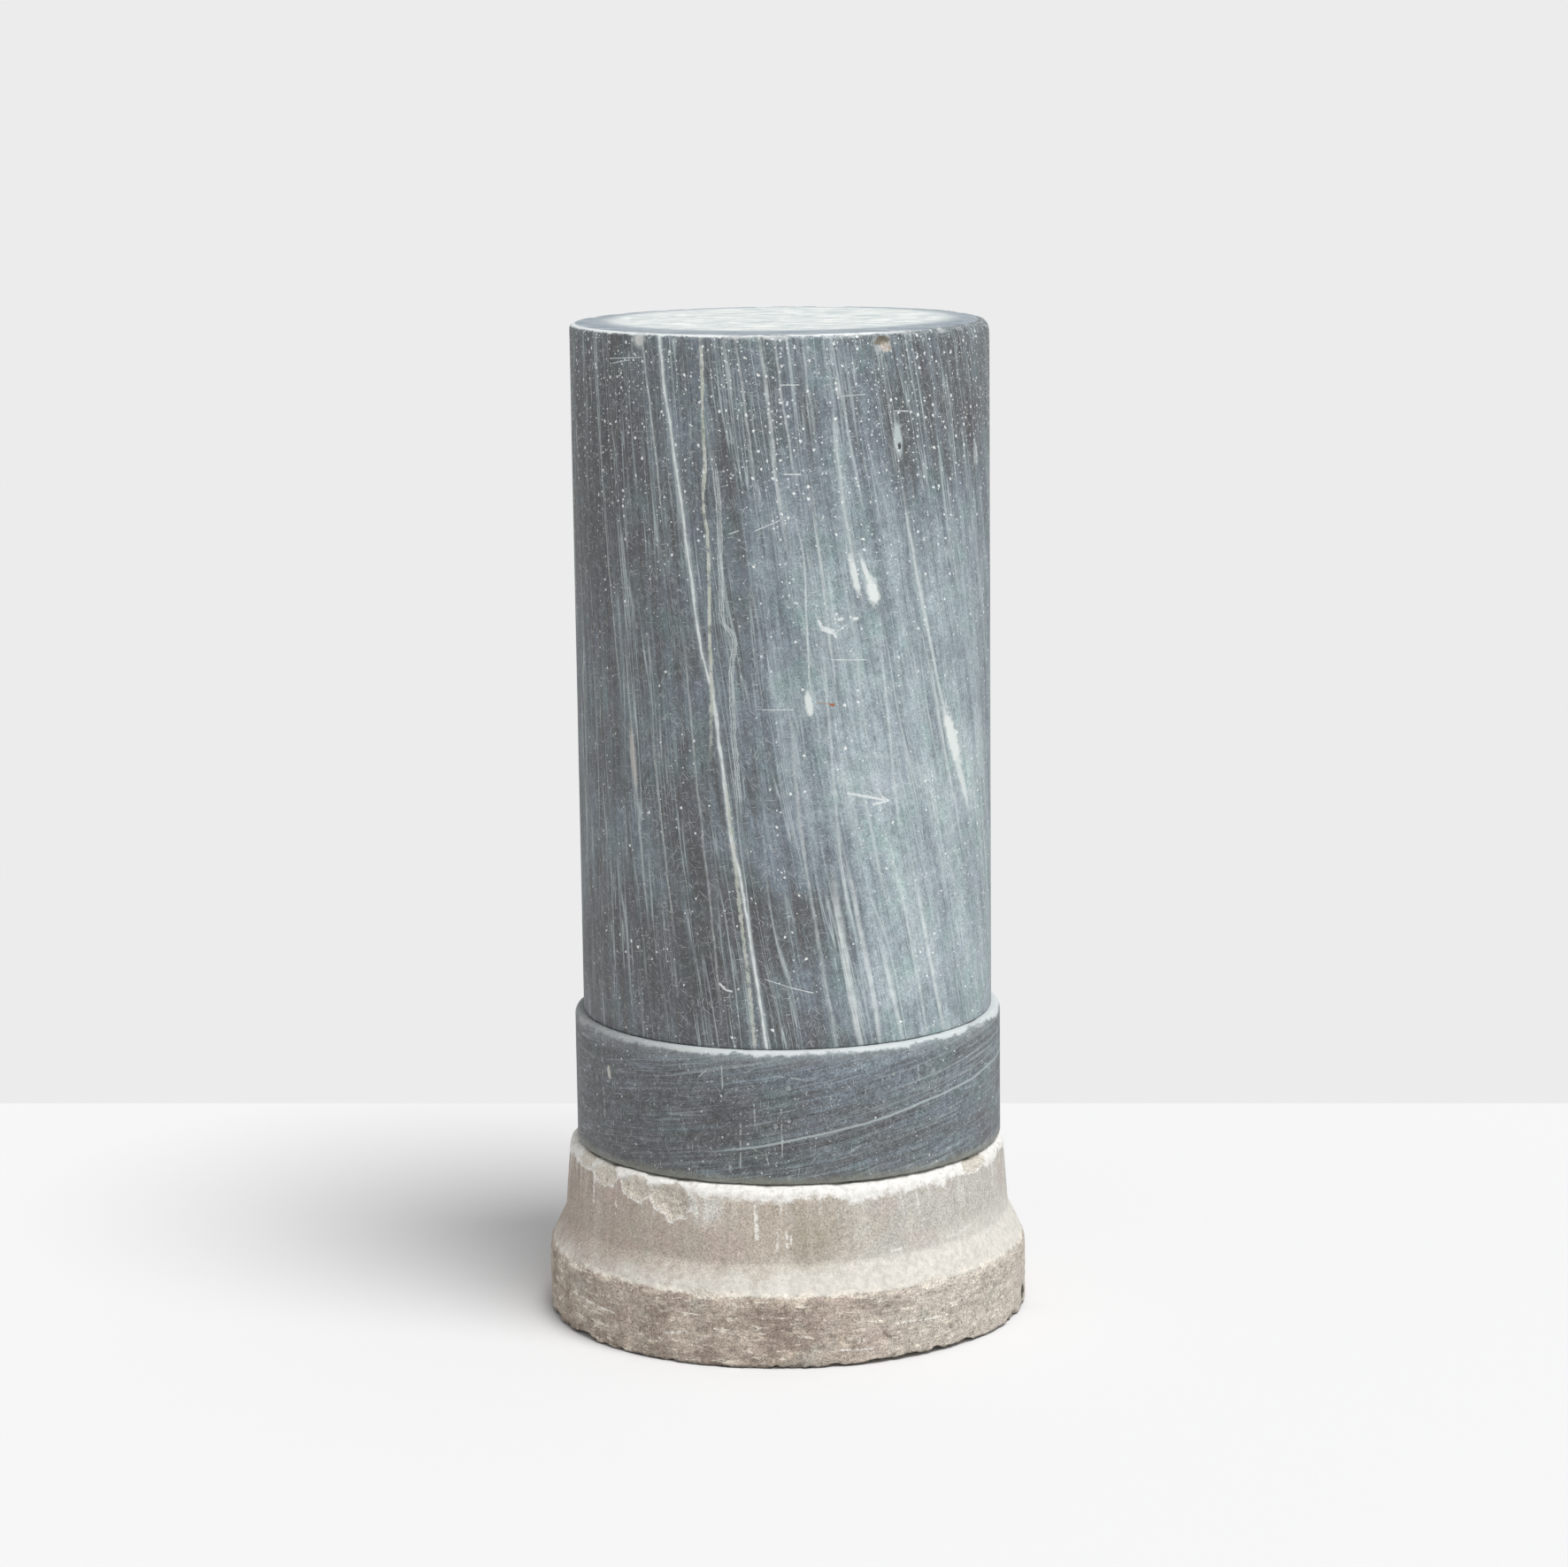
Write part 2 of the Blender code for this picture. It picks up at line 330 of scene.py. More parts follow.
def base_relief(angle, r, z, point):
    """Weathering of the limestone: soft waves, a rough plinth, worn edges, chips and a ragged foot."""
    if r < BASE_BED_RADIUS:
        return 0.0, 0.0
    plinth = clamped((66.0 * MM - z) / (8.0 * MM))
    rough = clamped(0.6 + noise.fractal(point * 95.0, 0.9, 2.1, 4), 0.0, 1.6)
    depth = waves(point, 16.0, 0.35 * MM) + (BODY_ROUGHNESS + PLINTH_ROUGHNESS * plinth) * rough
    pits = noise.noise(point * 130.0 + Vector((7.0, 0.0, 0.0)))
    depth += plinth * PLINTH_PITS * clamped((pits - 0.42) * 5.0)
    depth += near(z, 64.0 * MM, 9.0 * MM) * PLINTH_EDGE_WEAR * wear(point, 42.0, 0.3, 1.4)
    shoulder = clamped((z - 150.0 * MM) / (6.0 * MM))
    depth += shoulder * SHOULDER_EDGE_WEAR * wear(point, 48.0, 0.35, 1.3)
    foot = near(z, 0.0, 7.0 * MM)
    crumble = clamped(noise.fractal(point * 60.0 + Vector((0.0, 9.0, 0.0)), 0.9, 2.0, 3) * 1.6)
    depth += foot * FOOT_CRUMBLE * crumble
    cuts = (
        chip_cut(SHOULDER_CHIPS, angle, z, BASE_HEIGHT, BODY_HEAD_RADIUS, point),
        chip_cut(LEDGE_CHIPS, angle, z, PLINTH_HEIGHT, PLINTH_RADIUS, point),
        chip_cut(FOOT_CHIPS, angle, z, 0.0, PLINTH_RADIUS, point),
    )
    deepest, broken = max(cuts)
    return depth + deepest, max(broken, foot * crumble)


def base_lift(angle, reach, point):
    """How far the underside is broken away above the floor."""
    spread = abs(wrapped(angle - FOOT_BREAK_ANGLE)) / FOOT_BREAK_SPREAD
    inward = (PLINTH_RADIUS - reach) / FOOT_BREAK_REACH
    if spread > 1.0 or inward > 1.0:
        return 0.0
    ragged = 0.8 + 0.5 * noise.fractal(point * 70.0, 1.0, 2.0, 3)
    return FOOT_BREAK_HEIGHT * clamped((1.0 - spread) * 2.2) * clamped((1.0 - inward) * 2.0) * ragged


def shaft_relief(angle, r, z, point):
    """Soft tool waves, a nicked head arris, rubbed rounder on the right, and its chips."""
    depth = waves(point, 11.0, 0.22 * MM)
    if r < DRUM_BED_RADIUS:
        return depth * 0.5, 0.0
    edge = near(z, SHAFT_HEAD - 1.5 * MM, 4.0 * MM)
    nicked = nicks(point, 75.0)
    from_arris = math.hypot(SHAFT_HEAD_RADIUS - 1.5 * MM - r, SHAFT_HEAD - 1.5 * MM - z)
    on_right = clamped(1.0 - ((angle - 80.0) / 45.0) ** 2)
    depth += edge * DRUM_HEAD_NICKS * nicked
    depth += RUBBED_ARRIS * on_right * clamped(1.0 - from_arris / (10.0 * MM))
    cut, broken = chip_cut(SHAFT_HEAD_CHIPS, angle, z, SHAFT_HEAD, SHAFT_HEAD_RADIUS, point)
    return depth + cut, max(broken, 0.7 * edge * nicked)


def collar_relief(angle, r, z, point):
    """The collar's soft waves, its worn ledge and small chips. Its beds stay flat."""
    if r < DRUM_BED_RADIUS:
        return 0.0, 0.0
    edge = near(z, COLLAR_HEAD - 2.0 * MM, 4.0 * MM)
    foot = near(z, COLLAR_FOOT + 1.0 * MM, 3.0 * MM)
    nicked = nicks(point, 70.0)
    depth = waves(point, 13.0, 0.22 * MM) + (DRUM_HEAD_NICKS * edge + COLLAR_FOOT_NICKS * foot) * nicked
    cut, broken = chip_cut(COLLAR_HEAD_CHIPS, angle, z, COLLAR_HEAD, COLLAR_RADIUS, point)
    return depth + cut, max(broken, 0.6 * edge * nicked)


def turned_faces(rings, steps):
    """Quads between the rings and a fan on each end. The fans' middle points come after the rings."""
    head = rings * steps
    foot = head + 1
    last = head - steps
    faces = []
    for step in range(steps):
        after = (step + 1) % steps
        faces.append((head, step, after))
        for upper in range(0, last, steps):
            lower = upper + steps
            faces.append((upper + step, lower + step, lower + after, upper + after))
        faces.append((foot, last + after, last + step))
    return faces


def turned_mesh(name, outline, steps, centre, relief, lift=None):
    """A turned stone whose surface is cut back by its relief, with how broken it is kept at each point."""
    normals = outline_normals(outline)
    vertices = []
    broken = []
    rings = range(1, len(outline) - 1)
    for ring in rings:
        r, z = outline[ring]
        out_r, out_z = normals[ring]
        for step in range(steps):
            angle = 360.0 * step / steps
            turn = math.radians(angle)
            point = Vector((r * math.sin(turn), -r * math.cos(turn), z))
            depth, rough = relief(wrapped(angle), r, z, point)
            reach = r - depth * out_r
            height = z - depth * out_z
            raised = lift(wrapped(angle), reach, point) if lift else height
            if raised > height:
                height = raised
                rough = 1.0
            vertices.append((centre + reach * math.sin(turn), -reach * math.cos(turn), height))
            broken.append(rough)
    vertices += [(centre, 0.0, outline[0][1]), (centre, 0.0, outline[-1][1])]
    broken += [0.0, 0.0]
    mesh = bpy.data.meshes.new(name)
    mesh.from_pydata(vertices, [], turned_faces(len(rings), steps))
    mesh.attributes.new("broken", "FLOAT", "POINT").data.foreach_set("value", broken)
    mesh.shade_smooth()
    stone = bpy.data.objects.new(name, mesh)
    bpy.context.scene.collection.objects.link(stone)
    return stone


# Shader building

class Graph:
    """Builds a Principled material from short calls. Each call gives the socket of what it made."""

    def __init__(self, name):
        self.material = bpy.data.materials.new(name)
        self.material.use_nodes = True
        self.tree = self.material.node_tree

    def node(self, kind, **settings):
        """A new node with its settings."""
        made = self.tree.nodes.new(kind)
        for name, value in settings.items():
            setattr(made, name, value)
        return made

    def put(self, socket, value):
        """Links a socket, or sets a plain value."""
        if isinstance(value, bpy.types.NodeSocket):
            self.tree.links.new(value, socket)
        elif socket.type == "RGBA":
            socket.default_value = (*value, 1.0)
        else:
            socket.default_value = value

    def fed(self, kind, inputs, output=0, **settings):
        """An output of a new node whose inputs, by number or name, are put in."""
        made = self.node(kind, **settings)
        for key, value in inputs.items():
            self.put(made.inputs[key], value)
        return made.outputs[output]

    def math(self, operation, *values):
        """A Math node's result."""
        return self.fed("ShaderNodeMath", dict(enumerate(values)), operation=operation)

    def folded(self, operation, values):
        """The values taken one by one, so that few are held at a time."""
        values = iter(values)
        total = next(values)
        for value in values:
            total = self.math(operation, total, value)
        return total

    def add(self, *values):
        """The sum."""
        return self.folded("ADD", values)

    def times(self, *values):
        """The product."""
        return self.folded("MULTIPLY", values)

    def largest(self, values):
        """The largest of the values."""
        return self.folded("MAXIMUM", values)

    def away(self, *values):
        """How far the sum lies from 0."""
        return self.math("ABSOLUTE", self.add(*values))

    def length(self, first, second):
        """The length of a line that runs that far two ways."""
        return self.math("SQRT", self.add(self.times(first, first), self.times(second, second)))

    def ease(self, value, start, end, low=0.0, high=1.0):
        """A smooth step from low at start to high at end; start may be the larger."""
        inputs = dict(enumerate((value, start, end, low, high)))
        return self.fed("ShaderNodeMapRange", inputs, interpolation_type="SMOOTHSTEP", clamp=False)

    def within(self, value, low, high, soft):
        """1 between two limits and 0 beyond them, with soft ends."""
        rising = self.ease(value, low - soft, low + soft)
        return self.times(rising, self.ease(value, high + soft, high - soft))

    def mix(self, factor, first, second, blend="MIX"):
        """The first colour mixed with the second as far as the factor says."""
        inputs = {0: factor, 6: first, 7: second}
        return self.fed("ShaderNodeMix", inputs, 2, data_type="RGBA", blend_type=blend)

    def shaded(self, color, amount):
        """The colour made lighter or darker by an amount."""
        return self.fed("ShaderNodeHueSaturation", {"Value": amount, "Color": color})

    def scaled(self, vector, amount):
        """The vector times a number."""
        return self.fed("ShaderNodeVectorMath", {0: vector, "Scale": amount}, operation="SCALE")

    def combine(self, x, y, z):
        """A vector from its three numbers."""
        return self.fed("ShaderNodeCombineXYZ", {0: x, 1: y, 2: z})

    def dot(self, vector, direction):
        """How far the vector reaches in a direction."""
        return self.fed("ShaderNodeVectorMath", {0: vector, 1: direction}, "Value", operation="DOT_PRODUCT")

    def stretched(self, vector, scales):
        """The vector with each axis scaled by itself."""
        return self.fed("ShaderNodeVectorMath", {0: vector, 1: scales}, operation="MULTIPLY")

    def moved(self, vector, offset):
        """The vector moved by an offset."""
        return self.fed("ShaderNodeVectorMath", {0: vector, 1: offset}, operation="ADD")

    def noise(self, vector, size, detail=2.0, roughness=0.5):
        """Noise from 0 to 1, with forms of about that size in the vector's units."""
        inputs = {"Vector": vector, "Scale": 1.0 / size, "Detail": detail, "Roughness": roughness}
        return self.fed("ShaderNodeTexNoise", inputs)

    def ramp(self, value, stops):
        """The colour that the stops give to a value."""
        made = self.node("ShaderNodeValToRGB")
        band = made.color_ramp
        for element, (place, color) in zip(band.elements, (stops[0], stops[-1])):
            element.position = place
            element.color = (*color, 1.0)
        for place, color in stops[1:-1]:
            band.elements.new(place).color = (*color, 1.0)
        self.put(made.inputs[0], value)
        return made.outputs[0]

    def curve(self, value, points):
        """A smooth curve through points (0 to 1, 0 to 1)."""
        made = self.node("ShaderNodeFloatCurve")
        line = made.mapping.curves[0]
        while len(line.points) < len(points):
            line.points.new(0.5, 0.5)
        for spot, place in zip(line.points, points):
            spot.location = place
        made.mapping.update()
        self.put(made.inputs["Value"], value)
        return made.outputs[0]

    def bump(self, height, distance):
        """Bump whose height of 1 is that many millimetres."""
        inputs = {"Strength": 1.0, "Distance": distance * MM, "Height": height}
        return self.fed("ShaderNodeBump", inputs)


class Look(Graph):
    """A stone's material, with its coordinates in millimetres and the colour that is laid on it so far."""

    def __init__(self, name, centre, radius):
        super().__init__(name)
        self.radius = radius
        self.color = None
        source = self.node("ShaderNodeTexCoord").outputs["Object"]
        self.point = self.scaled(self.moved(source, (-centre, 0.0, 0.0)), 1.0 / MM)
        split = self.node("ShaderNodeSeparateXYZ")
        self.put(split.inputs[0], self.point)
        self.x, self.y, self.z = split.outputs
        self.round = self.times(self.math("ARCTAN2", self.x, self.times(self.y, -1.0)), radius)
        self.reach = self.length(self.x, self.y)
        self.upright = self.combine(0.0, 0.0, self.z)
        self.broken = self.node("ShaderNodeAttribute", attribute_name="broken").outputs["Fac"]

    def lay(self, paint, *masks, blend="MIX"):
        """Lays a colour on what is there, as far as the masks' product says."""
        self.color = self.mix(self.times(*masks), self.color, paint, blend)

    def shade(self, amount):
        """Makes the whole colour lighter or darker."""
        self.color = self.shaded(self.color, amount)

    def finish(self, roughness, relief, depth):
        """The material with its colour, its roughness, and a relief of that depth in millimetres."""
        shader = self.tree.nodes["Principled BSDF"]
        self.put(shader.inputs["Base Color"], self.color)
        self.put(shader.inputs["Roughness"], roughness)
        self.put(shader.inputs["Normal"], self.bump(relief, depth))
        return self.material

    def mottle(self, size, detail=2.0, roughness=0.5):
        """Even noise over the stone, from 0 to 1."""
        return self.noise(self.point, size, detail, roughness)

    def swing(self, size, detail=2.0, roughness=0.5):
        """The same noise, from -0.5 to 0.5."""
        return self.add(self.mottle(size, detail, roughness), -0.5)

    def streaks(self, width, height, detail=2.0, roughness=0.5):
        """Noise whose forms have that width and height."""
        scales = (1.0 / width, 1.0 / width, 1.0 / height)
        return self.noise(self.stretched(self.point, scales), 1.0, detail, roughness)

    def at(self, angle):
        """The way round to an angle in degrees."""
        return math.radians(angle) * self.radius

    def turned(self, x, z, cosine, sine, width=1.0, height=1.0):
        """Two distances, turned by an angle and counted in widths and heights."""
        across = self.add(self.times(x, cosine / width), self.times(z, sine / width))
        upward = self.add(self.times(x, -sine / height), self.times(z, cosine / height))
        return across, upward

    def vein(self, route, half_width, soft, wander=0.0, fade=12.0):
        """A thin line up the stone through (angle, height) points, fading at both ends."""
        points = sorted((height, self.at(angle)) for angle, height in route)
        low, high = points[0][0], points[-1][0]
        ways = [way for _, way in points]
        left = min(ways)
        span = max(max(ways) - left, 1.0)
        share = self.math("DIVIDE", self.add(self.z, -low), high - low)
        line = self.curve(share, [((z - low) / (high - low), (way - left) / span) for z, way in points])
        centre = self.math("MULTIPLY_ADD", line, span, left)
        offset = self.math("SUBTRACT", self.add(self.round, wander), centre)
        body = self.ease(self.math("ABSOLUTE", offset), self.add(half_width, soft), half_width)
        return self.times(body, self.within(self.z, low, high, fade))

    def stroke(self, start, end, half_width, soft=0.5):
        """A short straight scratch between two (angle, height) points."""
        run = self.at(end[0]) - self.at(start[0])
        rise = end[1] - start[1]
        length = math.hypot(run, rise)
        x = self.add(self.round, -self.at(start[0]))
        z = self.add(self.z, -start[1])
        along, side = self.turned(x, z, run / length, rise / length)
        body = self.ease(self.math("ABSOLUTE", side), half_width + soft, half_width)
        return self.times(body, self.within(along, 0.0, length, 1.0))

    def strokes(self, lines, **options):
        """Several strokes in one mask."""
        return self.largest(self.stroke(*line, **options) for line in lines)

    def spot(self, angle, height, half_width, half_height, lean=0.0, ragged=0.25, grain=6.0, edge=0.35):
        """A soft-edged patch, leaning so that its lower end lies to the right."""
        x = self.add(self.round, -self.at(angle))
        z = self.add(self.z, -height)
        tilt = math.radians(lean)
        across, upward = self.turned(x, z, math.cos(tilt), math.sin(tilt), half_width, half_height)
        wobble = self.times(self.swing(grain), ragged * 2.0)
        distance = self.add(self.length(across, upward), wobble)
        return self.ease(distance, 1.0 + edge / 2, 1.0 - edge / 2)

    def speckle(self, size, radius, chance):
        """Small irregular dots, one in some of the cells; chance may be a socket."""
        ruffled = self.times(self.mottle(1.7), radius * 2.6)
        bent = self.moved(self.point, self.combine(ruffled, ruffled, self.times(ruffled, -1.0)))
        cells = self.node("ShaderNodeTexVoronoi")
        self.put(cells.inputs["Vector"], bent)
        self.put(cells.inputs["Scale"], 1.0 / size)
        draws = self.node("ShaderNodeSeparateColor")
        self.put(draws.inputs[0], cells.outputs["Color"])
        chosen = self.math("LESS_THAN", draws.outputs[0], chance)
        own_radius = self.math("MULTIPLY_ADD", draws.outputs[1], radius * 0.9, radius * 0.4)
        beyond = self.add(self.times(cells.outputs["Distance"], size), self.times(own_radius, -1.0))
        return self.times(self.ease(beyond, 0.25, -0.2), chosen)


# Marble

MARBLE_RAMP = (
    (0.05, (0.070, 0.071, 0.076)),
    (0.30, (0.100, 0.104, 0.110)),
    (0.50, (0.168, 0.205, 0.232)),
    (0.72, (0.325, 0.390, 0.415)),
    (0.95, (0.520, 0.590, 0.600)),
)
GREEN_TINT = (0.92, 1.04, 0.97)
VIOLET_TINT = (1.02, 0.97, 1.05)
MILKY_MARBLE = (0.50, 0.57, 0.58)
CALCITE = (0.74, 0.79, 0.78)
CREAM_CALCITE = (0.58, 0.59, 0.54)
GREEN_CALCITE = (0.47, 0.51, 0.43)
LENS_WHITE = (0.74, 0.79, 0.77)
TAN = (0.50, 0.48, 0.44)
PIT_BLACK = (0.055, 0.055, 0.06)
SCRATCHED = (0.78, 0.82, 0.81)
# Worn white edge colour, partly a painted highlight
RUBBED_AND_HIGHLIGHT = (0.72, 0.75, 0.75)
RUST = (0.36, 0.13, 0.06)
RUST_STREAK = (0.40, 0.20, 0.13)
CRACK_BLACK = (0.06, 0.065, 0.07)
SPECK_WHITE = (0.84, 0.87, 0.86)
BREAK_TONES = ((0.34, 0.36, 0.37), (0.70, 0.72, 0.70))
BORDER_TONES = ((0.20, 0.25, 0.30), (0.42, 0.47, 0.51))
DISC_TONES = ((0.50, 0.56, 0.57), (0.84, 0.86, 0.83))
OCHRE = (0.17, 0.145, 0.10)
FILLER_TONES = ((0.36, 0.30, 0.25), (0.64, 0.58, 0.52))
BRUISE_WHITE = (0.60, 0.62, 0.58)

# Fine and coarse grit: size, detail, roughness, lower end, share darker, share lighter
MARBLE_GRIT = ((1.5, 2.0, 0.75, 0.25, 0.32, 0.34), (7.0, 3.0, 0.65, 0.3, 0.14, 0.15))

# The shaft's grain: lean in its middle, more lean to the right, height of no shift
GRAIN_LEAN = 0.15
GRAIN_LEAN_SPREAD = 0.10
GRAIN_MIDDLE = 600.0

SCUFF_WIDTH = 0.8


def upright_grain(look):
    """A function that gives noise drawn out up the stone, leaning more towards its right."""
    side = look.math("DIVIDE", look.x, look.add(look.reach, 0.001))
    slope = look.math("MULTIPLY_ADD", side, GRAIN_LEAN_SPREAD, GRAIN_LEAN)
    sway = look.times(look.add(look.streaks(55, 240), -0.5), 12.0)
    turned = look.add(look.round, look.times(look.add(look.z, -GRAIN_MIDDLE), slope), sway)
    angle = look.times(turned, 1.0 / look.radius)
    across = look.times(look.math("SINE", angle), look.reach)
    inward = look.times(look.math("COSINE", angle), look.reach)

    def grain(width, length, detail=2.0, roughness=0.5, shift=0.0):
        place = look.combine(look.math("MULTIPLY_ADD", across, 1.0 / width, shift),
                             look.times(inward, 1.0 / width), look.times(look.z, 1.0 / length))
        return look.noise(place, 1.0, detail, roughness)

    return grain


def bedded_grain(look, normal):
    """A function that gives noise drawn out along nearly level beds."""
    across = Vector(normal).normalized()
    along = (Vector((1.0, 0.0, 0.0)) - across * across.x).normalized()
    third = across.cross(along)
    bed = look.add(look.dot(look.point, tuple(across)), look.times(look.swing(120), 9.0))
    run = look.dot(look.point, tuple(along))
    side = look.dot(look.point, tuple(third))

    def grain(width, length, detail=2.0, roughness=0.5, shift=0.0):
        place = look.combine(look.math("MULTIPLY_ADD", bed, 1.0 / width, shift),
                             look.times(side, 1.6 / length), look.times(run, 1.0 / length))
        return look.noise(place, 1.0, detail, roughness)

    return grain


def banded(look, grain, tone, bands):
    """The tone with bands of the grain: width, length, detail, roughness, shift and strength of each."""
    for *form, strength in bands:
        band = look.add(grain(*form), -0.5)
        tone = look.add(tone, look.times(band, strength))
    return tone


def zoned(look, tone, zones, lean, grain):
    """The tone changed over broad zones: angle, height, half width, half height and change of each."""
    for *place, change in zones:
        patch = look.spot(*place, lean, 0.35, grain, 1.3)
        tone = look.add(tone, look.times(patch, change))
    return tone


def scuffs(look, directions, length, low):
    """Short pale scratches in a few directions, in degrees from level, one mask at a time."""
    for number, direction in enumerate(directions):
        turn = math.radians(direction)
        along, across = look.turned(look.round, look.z, math.cos(turn), math.sin(turn))
        bent = look.add(across, look.times(look.mottle(22, 1.0), 6.0))
        place = look.combine(look.times(along, 1.0 / length), look.times(bent, 1.0 / SCUFF_WIDTH),
                             17.0 * (number + 1))
        yield look.ease(look.noise(place, 1.0, 1.0), low, low + 0.08)


def threads(look, grain, kinds):
    """Faint pale threads along the grain: width, length, shift, sharpness and strength of each kind."""
    for width, length, shift, low, strength in kinds:
        value = grain(width, length, 1.0, 0.5, shift)
        off_crest = look.math("ABSOLUTE", look.math("MULTIPLY_ADD", value, 2.0, -1.0))
        crest = look.ease(look.math("SUBTRACT", 1.0, off_crest), low, 1.0)
        shown = look.ease(grain(width * 3.0, length * 0.6, 1.0, 0.5, shift + 7.0), 0.46, 0.64)
        yield look.times(crest, shown, strength)


def lay_marble(look, tone, contrast=1.0):
    """The tone as colour, drifting between violet and green greys, with fine grit."""
    look.color = look.ramp(tone, MARBLE_RAMP)
    drift = look.mottle(30, 3.0)
    look.lay(GREEN_TINT, look.ease(drift, 0.52, 0.68, 0.0, 0.7), blend="MULTIPLY")
    look.lay(VIOLET_TINT, look.ease(drift, 0.48, 0.32, 0.0, 0.5), blend="MULTIPLY")
    for size, detail, roughness, low, darker, lighter in MARBLE_GRIT:
        grit = look.mottle(size, detail, roughness)
        look.shade(look.ease(grit, low, 1.0 - low, 1.0 - darker * contrast, 1.0 + lighter * contrast))


# The shaft's bands, threads and broad zones, as banded, threads and zoned say
SHAFT_BANDS = (
    (24.0, 300.0, 4.0, 0.6, 0.0, 0.46),
    (7.0, 120.0, 3.0, 0.6, 11.0, 0.38),
    (1.7, 42.0, 2.0, 0.6, 23.0, 0.40),
)
SHAFT_THREADS = (
    (7.0, 300.0, 3.0, 0.95, 0.72),
    (4.0, 180.0, 31.0, 0.93, 0.56),
    (13.0, 480.0, 57.0, 0.965, 0.70),
)
SHAFT_ZONES = (
    (40, 420, 120, 190, 0.10),
    (8, 660, 85, 130, 0.095),
    (-52, 330, 110, 90, -0.12),
    (-64, 800, 88, 170, -0.10),
    (48, 815, 80, 42, -0.08),
    (14, 850, 30, 95, 0.09),
    (-48, 765, 34, 60, -0.07),
    (-3, 345, 75, 95, -0.15),
    (-160, 500, 170, 240, 0.10),
    (110, 720, 110, 150, -0.08),
)

# Veins of the shaft: (angle, height) points
MAIN_VEIN = (
    (-33.5, 916), (-32.1, 873), (-30.3, 833), (-27.7, 774), (-25.1, 712), (-23.5, 669), (-21.2, 626),
    (-19.1, 599), (-17.5, 559), (-16, 515), (-14.5, 471), (-12.4, 440), (-9.3, 370), (-5.6, 282),
)
CALCITE_CRACK = (
    (-21.2, 914), (-20.8, 877), (-20.8, 840), (-20.4, 802), (-21, 778), (-20, 742), (-19.7, 697),
    (-19.8, 655), (-19.5, 621), (-19.6, 590), (-19.9, 560),
)
CRUMBLED_CRACK = (
    (-16, 520), (-14, 464), (-13, 426), (-12.1, 398), (-11, 364), (-9.5, 313), (-8.9, 282),
)
TWIN_LINE = (
    (-18.2, 808), (-16.7, 765), (-16.4, 710), (-16.3, 670), (-13.1, 648), (-13.9, 614), (-13, 545),
    (-12.2, 504),
)

# Plainer veins: points, half width, softness, strength
PLAIN_VEINS = (
    (((-19.8, 618), (-17.5, 559), (-16, 515), (-14.5, 471), (-12.4, 440)), 1.9, 1.0, 0.90),
    (((-39.4, 916), (-36.8, 851), (-35.2, 811), (-34, 773)), 0.5, 1.2, 0.55),
    (((-11.6, 914), (-10.3, 876), (-9, 846), (-6.7, 781)), 0.5, 1.4, 0.45),
    (((-5.6, 916), (-2.8, 846), (-1.4, 792), (0.6, 748)), 0.6, 2.4, 0.55),
    (((-1.4, 914), (1.1, 846), (3.9, 792)), 0.4, 1.6, 0.50),
    (((6.1, 908), (7.6, 863), (8.9, 831)), 0.4, 1.6, 0.40),
    (((4.4, 745), (6, 700), (6.3, 660), (7.2, 600)), 0.4, 1.1, 0.60),
    (((8.2, 772), (10, 720), (12, 660), (14, 600)), 0.4, 2.0, 0.42),
    (((14.1, 845), (15.6, 791), (18.9, 722), (21.3, 682)), 0.6, 2.0, 0.50),
    (((10.5, 640), (12.3, 560), (14.4, 470), (17, 400)), 0.4, 1.8, 0.38),
    (((27, 640), (29.4, 560), (32, 480)), 0.4, 1.8, 0.40),
    (((35, 760), (38.2, 709), (41, 668), (44.9, 619), (49.8, 566)), 0.9, 2.4, 0.60),
    (((44, 610), (49, 540), (55, 470)), 0.5, 1.8, 0.50),
    (((-60, 905), (-57, 800), (-54, 700), (-50, 600)), 0.4, 1.4, 0.40),
    (((-47.5, 640), (-45.6, 560), (-43.5, 480), (-41, 400)), 0.4, 1.8, 0.42),
    (((-38, 560), (-35, 470), (-32, 390)), 0.4, 1.6, 0.36),
    (((-27, 640), (-24, 520), (-21, 420), (-18.5, 330)), 0.4, 1.6, 0.34),
    (((2, 560), (5, 460), (9, 370), (13, 290)), 0.5, 2.2, 0.36),
    (((13, 430), (17.2, 335), (20.3, 282)), 1.8, 4.0, 0.62),
    (((17, 440), (22.5, 350), (26, 282)), 1.1, 2.8, 0.60),
    (((27, 364), (32.4, 290)), 1.0, 2.8, 0.60),
    (((30, 450), (36, 370), (41, 290)), 0.5, 2.0, 0.42),
    (((38, 420), (43, 350), (47.5, 290)), 1.0, 3.0, 0.60),
    (((120, 880), (124, 700), (130, 520), (133, 330)), 0.8, 2.0, 0.55),
    (((-150, 900), (-146, 690), (-141, 420)), 0.7, 2.0, 0.55),
    (((172, 820), (176, 640), (179, 450)), 0.6, 1.8, 0.50),
)

# White lenses: angle, height, half width, half height, lean, strength
LENSES = (
    (19.3, 706, 3.0, 17, 12, 0.85),
    (24.6, 690, 5.4, 13, 14, 1.0),
    (22.7, 707, 2.2, 14, 20, 0.9),
    (6.6, 594, 3.2, 11, 8, 0.9),
    (52.4, 549, 6.8, 30, 22, 0.95),
    (56.6, 512, 3.8, 26, 24, 0.75),
    (15.2, 868, 2.4, 8, 8, 0.35),
    (66, 800, 5.0, 12, 8, 0.35),
    (150, 610, 5.0, 22, 14, 0.9),
    (-135, 520, 4.0, 18, 10, 0.8),
)

